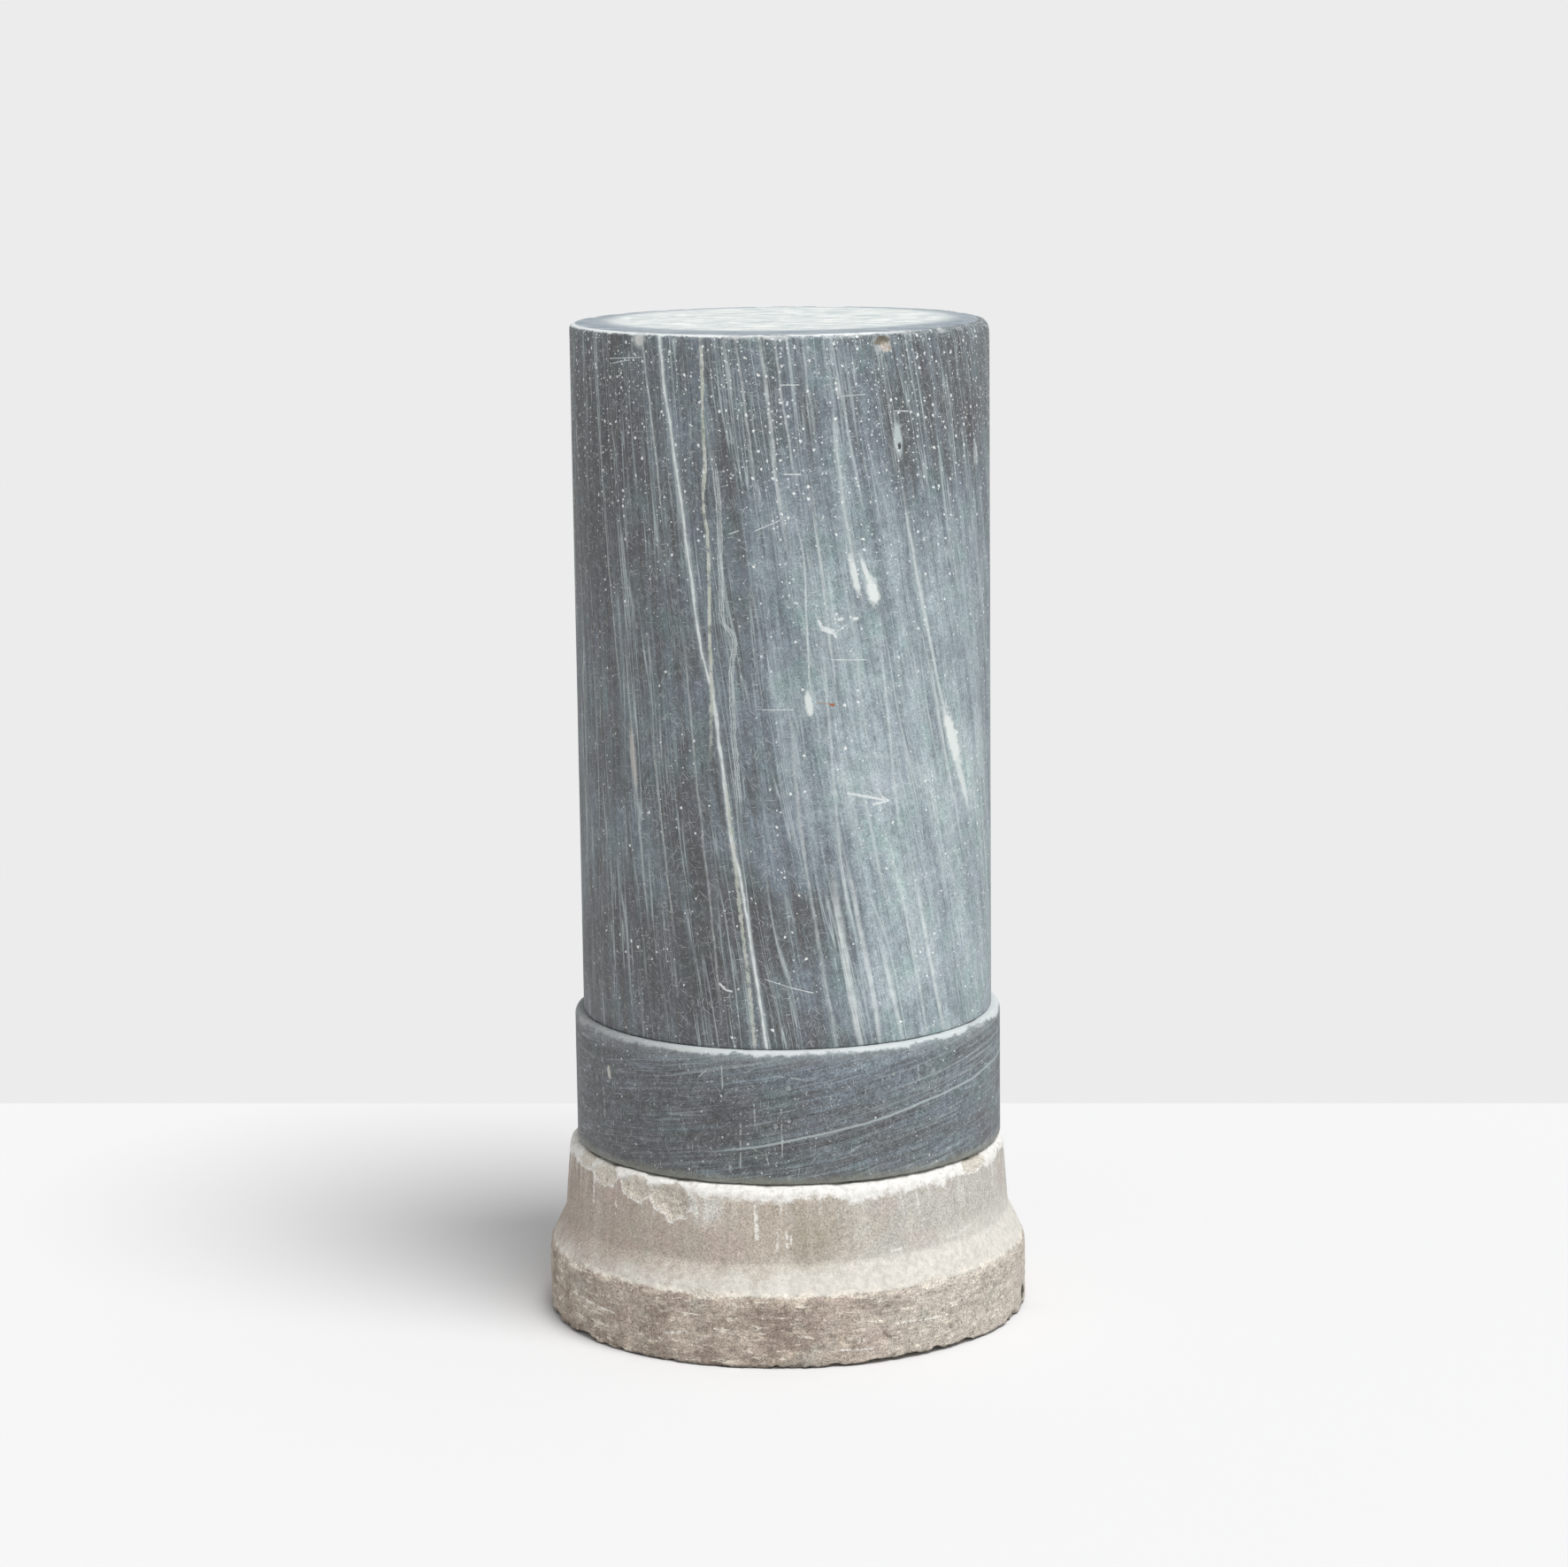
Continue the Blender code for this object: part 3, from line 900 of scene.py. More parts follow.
# Other marks of the shaft, as spot takes them
TAN_PATCH = (-45.3, 538, 3.2, 26, 6, 0.4, 6, 0.9)
KNOT = (32.6, 821, 4.4, 14, 6, 0.35, 6, 0.8)
KNOT_PIT = (33, 815, 1.7, 3.2, 0, 0.25, 3, 0.6)
RUST_SPOT = (12.9, 592, 2.6, 1.3, 0, 0.45, 2, 0.6)
OCHRE_SPOT = (28.1, 907, 7.5, 4.2, 0, 0.45, 4, 0.5)
FILLER_SPOT = (29.2, 902, 5.2, 4.0, -25, 0.35, 4, 0.4)
BRUISE_SPOT = (-40.3, 909.5, 5.0, 5.6, 20, 0.5, 4, 0.6)

# Scratches: start and end (angle, height), half width
SCRATCHES = (
    ((9.4, 667), (10.4, 660), 1.1),
    ((10.2, 660), (13.6, 656), 2.1),
    ((13.4, 656), (14.2, 651), 0.9),
    ((14, 655), (17, 662), 0.1),
    ((14.6, 667), (16.2, 667.5), 1.2),
    ((18.8, 667), (20.4, 667), 1.2),
    ((16.8, 513), (29, 503), 0.8),
    ((29, 503), (26.6, 508), 0.35),
    ((24, 501), (28.8, 503), 0.8),
    ((26, 512), (28, 500), 0.1),
    ((-5.9, 589), (2.6, 589), 0.1),
    ((12.4, 632), (22.7, 630), 0.1),
    ((-52, 891), (-39.5, 894), 0.1),
    ((-51, 887), (-44, 891), 0.05),
    ((0, 872), (5, 872), 0.2),
    ((31.6, 846), (36.3, 845), 0.2),
    ((0.6, 795), (5.2, 794.5), 0.35),
    ((-18.6, 343), (-16.7, 337), 0.7),
    ((-16.7, 337), (-14.9, 336), 0.6),
    ((-6, 348), (1.2, 340), 0.05),
    ((1.2, 340), (7, 335), 0.2),
    ((16, 861), (23, 862), 0.05),
    ((-14, 743), (-11.4, 746), 0.2),
    ((-7, 746), (-0.5, 755), 0.15),
)
RUST_TRAIL = ((8.6, 594.5), (12.4, 592.5), 0.2)
HAIRLINE = (((31.5, 913), (36, 907), 0.1, 0.4), ((36, 907), (40.5, 897), 0.1, 0.4))
SHAFT_SCUFFS = (62.0, -38.0, 8.0, -72.0)


def shaft_tone(look, grain):
    """The shaft's cloudy grey, from 0 dark to 1 milky: paler below on its right, partly painted light
    standing in for the key light there, darker at its head.
    """
    cloud = look.swing(80, 4.0, 0.62)
    tone = banded(look, grain, look.add(0.388, look.times(cloud, 0.50)), SHAFT_BANDS)
    drifting = look.times(cloud, 160.0)
    # Paler below on the right: marble tone and painted light from the key light on that side
    right = look.ease(look.add(look.x, drifting), -110.0, 145.0)
    below = look.ease(look.add(look.z, drifting), 890.0, 670.0)
    tone = look.add(tone, look.times(right, below, 0.235))
    return zoned(look, tone, SHAFT_ZONES, 10.0, 60.0)


def calcite_veins(look):
    """The masks of the shaft's named veins."""
    gentle = look.times(look.swing(26, 3.0), 3.4)
    ragged = look.times(look.swing(5, 3.0, 0.6), 2.6)
    swell = look.noise(look.upright, 22, 3.0, 0.65)
    uneven = look.ease(look.noise(look.upright, 13, 3.0, 0.7), 0.30, 0.62, 0.45, 1.0)
    main = look.vein(MAIN_VEIN, look.math("MULTIPLY_ADD", swell, 3.0, -0.8), 1.0, gentle, 5.0)
    yield look.times(main, look.math("MULTIPLY_ADD", uneven, 0.6, 0.4), 0.95)
    yield look.times(look.vein(MAIN_VEIN, 0.5, 4.0, gentle, 5.0), 0.25)
    for shift in (-1.6, 0.0, 1.9):
        twin = look.vein(TWIN_LINE, 0.1, 0.8, look.add(ragged, gentle, shift), 18.0)
        yield look.times(twin, uneven, 0.62)
    for route, half_width, soft, strength in PLAIN_VEINS:
        wide = look.math("MULTIPLY_ADD", swell, half_width * 1.6, half_width * -0.2)
        yield look.times(look.vein(route, wide, soft, gentle, 34.0), uneven, strength)


def crack_veins(look):
    """The masks of the two cracks filled with cream calcite."""
    ragged = look.times(look.swing(4, 3.0, 0.65), 2.2)
    swell = look.noise(look.upright, 30, 3.0, 0.6)
    broken_up = look.ease(look.mottle(7), 0.34, 0.52, 0.35, 1.0)
    wide = look.math("MULTIPLY_ADD", swell, 3.6, -0.6)
    yield look.times(look.vein(CALCITE_CRACK, wide, 0.8, ragged, 26.0), broken_up, 0.95)
    wide = look.math("MULTIPLY_ADD", swell, 2.4, -0.2)
    yield look.times(look.vein(CRUMBLED_CRACK, wide, 1.2, look.times(ragged, 2.0), 10.0), broken_up, 0.8)


def lens_masks(look):
    """The masks of the white lenses."""
    for *place, strength in LENSES:
        yield look.times(look.spot(*place, 0.60, 5.0, 0.8), strength)


def lay_shaft_veins(look):
    """The named veins, the filled cracks, the lenses and one tan patch."""
    look.lay(CALCITE, look.largest(calcite_veins(look)))
    tints = look.ease(look.noise(look.upright, 34), 0.42, 0.58)
    filling = look.mix(tints, GREEN_CALCITE, CREAM_CALCITE)
    look.lay(filling, look.largest(crack_veins(look)))
    look.lay(LENS_WHITE, look.largest(lens_masks(look)))
    look.lay(TAN, look.spot(*TAN_PATCH), 0.75)


def lay_knot(look):
    """A pale teardrop round a dark pit, whose mask it gives."""
    look.lay(MILKY_MARBLE, look.spot(*KNOT), 0.85)
    pit = look.spot(*KNOT_PIT)
    look.lay(PIT_BLACK, pit)
    return pit


def lay_scratches(look):
    """Scratches, scuffs, a rust mark and a dark hairline. Gives the masks of those that are cut in."""
    scratches = look.times(look.strokes(SCRATCHES), look.ease(look.mottle(1.6, 1.0), 0.35, 0.5, 0.6, 1.0))
    scuffed = look.times(look.largest(scuffs(look, SHAFT_SCUFFS, 13.0, 0.66)), 0.5)
    look.lay(SCRATCHED, look.math("MAXIMUM", scratches, scuffed), 0.85)
    look.lay(RUST, look.spot(*RUST_SPOT))
    look.lay(RUST_STREAK, look.stroke(*RUST_TRAIL), 0.6)
    hairline = look.strokes(HAIRLINE)
    look.lay(CRACK_BLACK, hairline, 0.7)
    return scratches, hairline


def lay_specks(look):
    """White specks, which crowd the head and the right, and thin out downwards. Gives their mask."""
    upward = look.ease(look.z, 640.0, SHAFT_HEAD / MM, 0.06, 0.56)
    rightward = look.ease(look.x, 20.0, 180.0, 0.0, 0.12)
    crowd = look.add(upward, rightward, look.times(look.swing(50), 0.7))
    dots = look.math("MAXIMUM", look.speckle(6.0, 1.15, crowd), look.speckle(3.3, 0.64, crowd))
    look.lay(SPECK_WHITE, dots, 0.95)
    return dots


def lay_shaft_head(look):
    """The rubbed white arris, partly a painted highlight, and the head's pale round patch with its grey
    border.
    """
    head = SHAFT_HEAD / MM
    ragged = look.swing(8, 4.0, 0.7)
    near_rim = look.ease(look.reach, 182.5, 184.5)
    worn = look.ease(look.add(look.z, look.times(ragged, 5.0)), head - 2.4, head - 1.0)
    # Worn white arris, partly a painted highlight along the lit edge
    look.lay(RUBBED_AND_HIGHLIGHT, near_rim, worn, look.ease(look.x, 140.0, 70.0, 0.12, 1.0))
    flat = look.times(look.ease(look.z, head - 1.0, head - 0.5), look.ease(look.reach, 185.5, 184.0))
    level = look.combine(look.times(look.x, 1.0 / 34.0), look.times(look.y, 1.0 / 13.0), 0.0)
    streaks = look.noise(level, 1.0, 5.0, 0.72)
    look.lay(look.mix(look.ease(streaks, 0.35, 0.65), *BORDER_TONES), flat, 0.85)
    from_patch = look.length(look.x, look.add(look.y, -19.0))
    edge = look.add(from_patch, look.times(look.add(streaks, -0.5), 90.0))
    disc = look.mix(look.ease(streaks, 0.40, 0.60), *DISC_TONES)
    look.lay(disc, flat, look.ease(edge, 166.0, 146.0))


def lay_shaft_chips(look):
    """Grey breaks, ochre and pink filler in the chip on the right, and a white bruise on the left."""
    look.lay(look.mix(look.mottle(4), *BREAK_TONES), look.broken, 0.55)
    look.lay(OCHRE, look.spot(*OCHRE_SPOT), 0.85)
    filler = look.mix(look.ease(look.mottle(2.2), 0.4, 0.6), *FILLER_TONES)
    look.lay(filler, look.spot(*FILLER_SPOT), 0.85)
    look.lay(BRUISE_WHITE, look.spot(*BRUISE_SPOT), 0.75)


def shaft_marble():
    """Blue-grey marble with pale veins, lenses, scratches, specks and a rubbed head."""
    look = Look("shaft_marble", DRUM_OFFSET, SHAFT_PATTERN_RADIUS)
    grain = upright_grain(look)
    lay_marble(look, shaft_tone(look, grain))
    look.lay(MILKY_MARBLE, look.largest(threads(look, grain, SHAFT_THREADS)))
    lay_shaft_veins(look)
    pit = lay_knot(look)
    scratches, hairline = lay_scratches(look)
    dots = lay_specks(look)
    lay_shaft_head(look)
    lay_shaft_chips(look)
    fine = look.mottle(1.3)
    grime = look.mottle(14, 3.0)
    relief = look.add(look.times(fine, 0.25), look.times(grime, 0.8), look.times(dots, -0.5),
                      look.times(scratches, -0.5), look.times(pit, -2.5), look.times(hairline, -1.0))
    roughness = look.add(0.42, look.times(grime, 0.16), look.times(look.broken, 0.2))
    return look.finish(roughness, relief, 0.25)


COLLAR_SPECK = (0.70, 0.74, 0.73)
COLLAR_FLECKS = ((12.0, 2.0, 0.24, 0.38, (0.44, 0.48, 0.45)), (7.5, 1.3, 0.26, 0.40, (0.50, 0.54, 0.52)))
COLLAR_SCRATCHED = (0.58, 0.62, 0.60)
COLLAR_PATCH = (0.60, 0.59, 0.54)
COLLAR_PATCH_SPOT = (-55.5, 246, 3, 6, 12, 0.45, 4, 0.5)
COLLAR_DUST = (0.44, 0.48, 0.49)
COLLAR_MOSS = (0.25, 0.25, 0.20)
COLLAR_BREAK = (0.48, 0.50, 0.50)
COLLAR_BEDDING = (-0.187, -0.02, 1.0)
COLLAR_CONTRAST = 1.6

# The collar's bands, threads and broad zones, as banded, threads and zoned say
COLLAR_BANDS = (
    (11.0, 240.0, 3.0, 0.5, 0.0, 0.24),
    (3.2, 110.0, 3.0, 0.6, 11.0, 0.34),
    (1.3, 45.0, 2.0, 0.6, 23.0, 0.46),
)
COLLAR_THREADS = ((5.0, 230.0, 3.0, 0.95, 0.34), (2.6, 120.0, 31.0, 0.93, 0.30))
COLLAR_ZONES = (
    (58, 235, 100, 60, 0.02),
    (12, 262, 110, 22, 0.05),
    (-55, 230, 90, 70, -0.05),
    (0, 195, 110, 30, -0.04),
    (120, 220, 90, 60, 0.06),
)

# Veins along the bedding: height at the axis, half width, way round where it starts and is full, strength
COLLAR_VEINS = (
    (206.6, 0.5, -78, -30, 0.55),
    (216.0, 0.2, 20, 90, 0.24),
    (229.0, 0.3, 60, 130, 0.28),
    (243.0, 0.2, 40, 110, 0.22),
)

# Drips and scratches on the collar: start and end (angle, height), half width
COLLAR_STROKES = (
    ((-17.5, 270), (-17.3, 248), 0.5),
    ((-9, 236), (-8.8, 216), 0.4),
    ((-12.6, 228), (-12.8, 176), 0.4),
    ((-59, 262), (-58, 196), 0.5),
    ((-3, 262), (5, 258), 0.3),
    ((-24, 258), (-21, 267), 0.4),
    ((-6, 190), (-5.6, 180), 0.8),
    ((-2, 232), (-1.8, 188), 0.3),
    ((36, 262), (36.6, 240), 0.4),
)
COLLAR_SCUFFS = (86.0, -40.0, 35.0)


def collar_veins(look):
    """One long vein that rises to the right with the bedding, and fainter ones above it."""
    level = look.add(look.z, look.times(look.x, COLLAR_BEDDING[0]), look.times(look.y, COLLAR_BEDDING[1]))
    wave = look.times(look.swing(40, 3.0), 5.0)
    for place, half_width, start, full, strength in COLLAR_VEINS:
        body = look.ease(look.away(level, wave, -place), half_width + 1.2, half_width)
        shown = look.times(look.ease(look.round, start, full), look.ease(look.round, 330.0, 250.0))
        yield look.times(body, shown, strength)


def lay_collar_marks(look):
    """Specks, flecks, drips, scuffs and one pale patch. Gives the specks' mask."""
    dots = look.math("MAXIMUM", look.speckle(6.0, 0.8, 0.30), look.speckle(3.1, 0.42, 0.34))
    look.lay(COLLAR_SPECK, dots, 0.8)
    for size, radius, chance, strength, paint in COLLAR_FLECKS:
        look.lay(paint, look.speckle(size, radius, chance), strength)
    strokes = look.strokes(COLLAR_STROKES)
    dashed = look.ease(look.mottle(5), 0.42, 0.54)
    scuffed = look.times(look.largest(scuffs(look, COLLAR_SCUFFS, 12.0, 0.67)), 0.5)
    look.lay(COLLAR_SCRATCHED, look.math("MAXIMUM", look.times(strokes, dashed, 0.5), scuffed))
    look.lay(COLLAR_PATCH, look.spot(*COLLAR_PATCH_SPOT), 0.8)
    return dots


def lay_collar_edges(look):
    """The rubbed upper edge, partly a painted highlight, with dust under it, moss at the foot, and breaks.
    Gives the edge's mask.
    """
    head = COLLAR_HEAD / MM
    foot = COLLAR_FOOT / MM
    ragged = look.swing(8, 4.0, 0.7)
    slow = look.swing(38)
    ledge_line = look.add(look.z, look.times(ragged, 9.0), look.times(slow, 9.0))
    ledge = look.ease(ledge_line, head - 4.2, head - 2.0)
    # Rubbed pale edge, partly a painted highlight: fainter on the shaded left
    look.lay(RUBBED_AND_HIGHLIGHT, ledge, look.ease(look.x, -180.0, -20.0, 0.30, 0.80))
    dust_line = look.add(look.z, look.times(ragged, 22.0))
    look.lay(COLLAR_DUST, look.ease(dust_line, head - 18.0, head - 2.0, 0.0, 0.26))
    moss_line = look.add(look.z, look.times(ragged, 12.0))
    look.lay(COLLAR_MOSS, look.ease(moss_line, foot + 10.0, foot + 1.5, 0.0, 0.6))
    look.lay(COLLAR_BREAK, look.broken, 0.5)
    return ledge


def collar_marble():
    """Darker marble whose grain lies level, with one long pale vein and a rubbed upper edge."""
    look = Look("collar_marble", DRUM_OFFSET, COLLAR_PATTERN_RADIUS)
    grain = bedded_grain(look, COLLAR_BEDDING)
    tone = look.add(0.36, look.times(look.swing(70, 3.0, 0.6), 0.30))
    tone = banded(look, grain, tone, COLLAR_BANDS)
    # Darker on the left and paler on the right: painted shade and painted light that follow the key light
    tone = look.add(tone, look.ease(look.x, -160.0, 160.0, -0.03, 0.03))
    lay_marble(look, zoned(look, tone, COLLAR_ZONES, 0.0, 50.0), COLLAR_CONTRAST)
    look.lay(MILKY_MARBLE, look.largest(threads(look, grain, COLLAR_THREADS)))
    look.lay(MILKY_MARBLE, look.largest(collar_veins(look)))
    dots = lay_collar_marks(look)
    ledge = lay_collar_edges(look)
    fine = look.mottle(1.3)
    grime = look.mottle(12, 3.0)
    relief = look.add(look.times(fine, 0.3), look.times(grime, 0.9), look.times(dots, -0.5))
    roughness = look.add(0.44, look.times(grime, 0.16), look.times(ledge, 0.2))
    return look.finish(roughness, relief, 0.25)


# Limestone

# Body stone: the darker warm left and paler cool right are partly painted shade and painted light
WARM_SHADED_STONE = (0.450, 0.382, 0.330)
SAND_STONE = (0.500, 0.440, 0.370)
COOL_LIT_STONE = (0.515, 0.497, 0.455)
STAIN = (0.31, 0.275, 0.22)
PALE_STAIN = (0.60, 0.56, 0.49)
ROSY_STONE = (0.50, 0.40, 0.36)
MOSSY_STONE = (0.42, 0.42, 0.34)
DAMP_STONE = (0.35, 0.32, 0.25)
# Pale limewash colour, also used for the shoulder's painted highlight
LIME_WASH_AND_HIGHLIGHT = (0.800, 0.790, 0.755)
THIN_LIME = (0.71, 0.70, 0.65)
LEDGE_DUST = (0.640, 0.615, 0.565)
# Cream for the painted highlight on the plinth's arris
LIP_HIGHLIGHT = (0.76, 0.71, 0.62)
CREAM_BREAK = (0.780, 0.725, 0.635)
CREVICE = (0.300, 0.245, 0.190)
PLINTH_DARK = (0.310, 0.248, 0.205)
PLINTH_PALE = (0.560, 0.485, 0.405)
# Paler cool plinth stone, partly painted light on the lit right
PLINTH_COOL_LIT = (0.600, 0.560, 0.495)
PLINTH_ROSY = (0.42, 0.33, 0.29)
PLINTH_MOSSY = (0.42, 0.42, 0.37)
PLINTH_STREAK = (0.76, 0.70, 0.60)
PLINTH_HOLLOW = (0.22, 0.18, 0.145)
PLINTH_SEAM = (0.17, 0.14, 0.11)
# Near-black for painted shade at the foot
FOOT_SHADE = (0.060, 0.052, 0.045)
PIT_BROWN = (0.13, 0.11, 0.09)
FLECK_CREAM = (0.70, 0.65, 0.56)

# Patches of the base, as spot takes them
LIMED_SPOT = (-21, 140, 17, 15, 0, 0.5, 9, 1.2)
DAMP_SPOT = (7, 118, 17, 34, 0, 0.5, 12, 1.2)
# A notch at the foot, darkened with painted shade
NOTCH_SPOT = (79.5, 12, 5.5, 8, 0, 0.35, 4, 0.5)

# Drips and pale seams of the limestone: start and end (angle, height), half width
LIMESTONE_DRIPS = (
    ((-2.6, 121), (-2.5, 104), 0.7),
    ((-0.2, 122), (-0.1, 106), 0.6),
    ((0.8, 119), (0.9, 110), 0.5),
    ((-60, 152), (-59.8, 122), 1.3),
    ((-49.6, 132), (-49.5, 119), 0.8),
    ((51, 104), (51.2, 95), 0.6),
    ((-8, 146), (-7.6, 112), 1.4),
    ((25, 96), (30, 98), 0.8),
    ((45, 98), (56, 103), 0.6),
    ((34, 84), (46, 87), 0.7),
    ((20, 78), (31, 79), 0.6),
    ((50, 88), (60, 92), 0.5),
    ((-62, 38), (-45, 34), 0.5),
    ((-58, 30), (-50, 29), 0.4),
    ((24, 35), (38, 33), 0.4),
    ((40, 42), (47, 44), 0.3),
    ((12, 16), (20, 14), 0.5),
    ((-30, 26), (-24, 30), 0.5),
    ((55, 30), (62, 34), 0.3),
)


class LimestoneLook(Look):
    """The base's stone. Its noises and masks are kept for the layers that share them."""

    def __init__(self):
        super().__init__("limestone", 0.0, BASE_PATTERN_RADIUS)
        self.soft = self.swing(30, 3.0, 0.6)
        self.ragged = self.swing(8, 4.0, 0.7)
        self.grit = self.mottle(1.6, 3.0, 0.7)
        self.coarse = self.mottle(5.5, 3.0, 0.6)
        self.turn = self.add(self.x, self.times(self.soft, 170.0))

    def height_with(self, *wanders):
        """The height above the floor, wandering by (noise, millimetres) pairs."""
        return self.add(self.z, *[self.times(wander, amount) for wander, amount in wanders])

    def lay_body(self):
        """Warm and darker on the left to cool and paler on the right, partly the stone's colour and partly
        painted shade on the left and painted light on the right, with stains that run down and rosy and mossy
        patches.
        """
        # Painted shade on the left and painted light on the right, mixed with the stone's own warm and cool
        # colours
        self.color = self.mix(self.ease(self.turn, -150.0, -10.0), WARM_SHADED_STONE, SAND_STONE)
        self.lay(COOL_LIT_STONE, self.ease(self.turn, 10.0, 120.0))
        self.stain = self.streaks(17, 110, 4.0, 0.6)
        leftward = self.ease(self.turn, 140.0, 60.0, 0.3, 1.0)
        self.lay(STAIN, self.ease(self.stain, 0.50, 0.68, 0.0, 0.42), leftward)
        self.lay(PALE_STAIN, self.ease(self.stain, 0.47, 0.34, 0.0, 0.40))
        self.rosy = self.ease(self.mottle(40, 3.0), 0.52, 0.68, 0.0, 0.34)
        self.lay(ROSY_STONE, self.rosy)
        elsewhere = self.moved(self.point, (90.0, 0.0, 0.0))
        self.mossy = self.ease(self.noise(elsewhere, 34, 3.0), 0.54, 0.70, 0.0, 0.30)
        self.lay(MOSSY_STONE, self.mossy)

    def lay_plinth(self):
        """The plinth is rougher and darker, mottled, with pale level streaks and dark seams, and paler
        towards the right, partly painted light.
        """
        rock = self.mix(self.ease(self.streaks(42, 21, 5.0, 0.68), 0.34, 0.64), PLINTH_DARK, PLINTH_PALE)
        # Paler cool stone towards the right: partly painted light from the key light
        rock = self.mix(self.ease(self.turn, 0.0, 180.0, 0.0, 0.70), rock, PLINTH_COOL_LIT)
        rock = self.mix(self.times(self.rosy, 0.9), rock, PLINTH_ROSY)
        rock = self.mix(self.times(self.mossy, 1.7), rock, PLINTH_MOSSY)
        self.level = self.streaks(20, 4.5, 4.0, 0.72)
        rock = self.mix(self.ease(self.level, 0.57, 0.63, 0.0, 0.90), rock, PLINTH_STREAK)
        rock = self.mix(self.ease(self.level, 0.42, 0.32, 0.0, 0.45), rock, PLINTH_HOLLOW)
        seam = self.ease(self.away(self.streaks(34, 15, 3.0, 0.6), -0.5), 0.009, 0.002)
        rock = self.mix(self.times(seam, 0.6), rock, PLINTH_SEAM)
        self.on_plinth = self.ease(self.height_with((self.ragged, 9.0)), 67.0, 63.5)
        self.lay(rock, self.on_plinth)

    def lay_lime(self):
        """Limewash on the shoulder, with its drips, and a limed and a damp patch under it. The pale band on
        the shoulder's rounding is partly a painted highlight.
        """
        drips = self.streaks(6, 60, 3.0)
        upper = self.ease(self.height_with((self.ragged, 40.0)), 112.0, 150.0)
        self.lay(LIME_WASH_AND_HIGHLIGHT, self.times(self.ease(drips, 0.54, 0.68), upper), 0.5)
        self.lay(THIN_LIME, self.spot(*LIMED_SPOT), self.ease(drips, 0.36, 0.56, 0.35, 0.85))
        self.lay(DAMP_STONE, self.spot(*DAMP_SPOT), self.ease(self.stain, 0.36, 0.60, 0.35, 0.80))
        lines = self.strokes(LIMESTONE_DRIPS, soft=0.8)
        self.lay(LIME_WASH_AND_HIGHLIGHT, lines, self.ease(self.coarse, 0.38, 0.52), 0.75)
        # Pale band over the shoulder's rounding: limewash and a painted highlight where the top turns to the
        # light
        wash_and_highlight_line = self.height_with((self.ragged, 14.0), (self.soft, 24.0))
        self.shoulder_wash_and_highlight = self.ease(wash_and_highlight_line, 147.5, 152.5)
        self.lay(LIME_WASH_AND_HIGHLIGHT, self.shoulder_wash_and_highlight, self.ease(self.coarse, 0.30, 0.55, 0.70, 0.96))

    def lay_dust(self):
        """Dust on the ledge, higher on its right, and a painted cream highlight along the plinth's upper
        arris.
        """
        above = self.ease(self.height_with((self.ragged, 9.0)), 64.5, 67.5)
        below = self.ease(self.height_with((self.soft, 36.0), (self.x, -0.085)), 104.0, 74.0)
        self.dust = self.times(above, below)
        self.lay(LEDGE_DUST, self.dust, self.ease(self.coarse, 0.3, 0.6, 0.72, 0.96))
        # Cream line along the plinth's arris: a painted highlight
        off_lip = self.away(self.height_with((self.ragged, 9.0)), -66.5)
        lip_highlight = self.times(self.ease(off_lip, 3.6, 1.0), self.ease(self.mottle(14, 3.0), 0.42, 0.56))
        self.lay(LIP_HIGHLIGHT, lip_highlight, 0.85)

    def lay_breaks(self):
        """Fresh breaks are cream with brown crevices and a limed rim; the crumbled foot and a notch in it are
        darkened with painted shade.
        """
        self.crack = self.away(self.mottle(5, 3.0, 0.7), -0.5)
        fresh = self.mix(self.ease(self.crack, 0.018, 0.0, 0.0, 0.7), CREAM_BREAK, CREVICE)
        self.lay(fresh, self.broken, self.ease(self.z, 20.0, 50.0), 0.9)
        rim = self.times(self.ease(self.broken, 0.05, 0.35), self.ease(self.broken, 0.95, 0.55))
        self.lay(LIME_WASH_AND_HIGHLIGHT, rim, self.ease(self.z, 100.0, 120.0), 0.8)
        # Near-black band along the foot: painted contact shade
        self.lay(FOOT_SHADE, self.ease(self.height_with((self.ragged, 8.0)), 4.5, 0.5, 0.0, 0.75))
        # The foot notch darkened with painted shade
        self.lay(FOOT_SHADE, self.spot(*NOTCH_SPOT), 0.85)

    def lay_grain(self):
        """Light and dark grit, strongest on the plinth, with small pits and flecks."""
        smooth = self.math("MAXIMUM", self.shoulder_wash_and_highlight, self.dust)
        self.share = self.times(self.math("MULTIPLY_ADD", smooth, -0.70, 1.0),
                                self.math("MULTIPLY_ADD", self.on_plinth, 0.2, 0.8))
        grit = self.math("MULTIPLY_ADD", self.add(self.grit, -0.5), self.times(self.share, 2.6), 1.0)
        self.shade(grit)
        blotchy = self.math("MULTIPLY_ADD", self.on_plinth, 0.55, 0.55)
        self.shade(self.add(self.times(self.add(self.coarse, -0.5), blotchy), 1.0))
        self.pits = self.speckle(5.0, 0.6, self.ease(self.z, 90.0, 60.0, 0.04, 0.26))
        self.lay(PIT_BROWN, self.pits, 0.7)
        flecks = self.speckle(5.0, 1.0, self.ease(self.z, 90.0, 60.0, 0.10, 0.34))
        self.lay(FLECK_CREAM, flecks, 0.6)

    def relief(self):
        """Grit and level hollows, and deep crevices in the breaks."""
        relief = self.add(self.times(self.grit, 0.9), self.times(self.coarse, 1.2),
                          self.times(self.pits, -1.6),
                          self.times(self.level, self.times(self.on_plinth, 2.2)),
                          self.times(self.broken, self.times(self.crack, 7.0)))
        return self.times(relief, self.math("MAXIMUM", self.times(self.share, 0.9), self.broken))


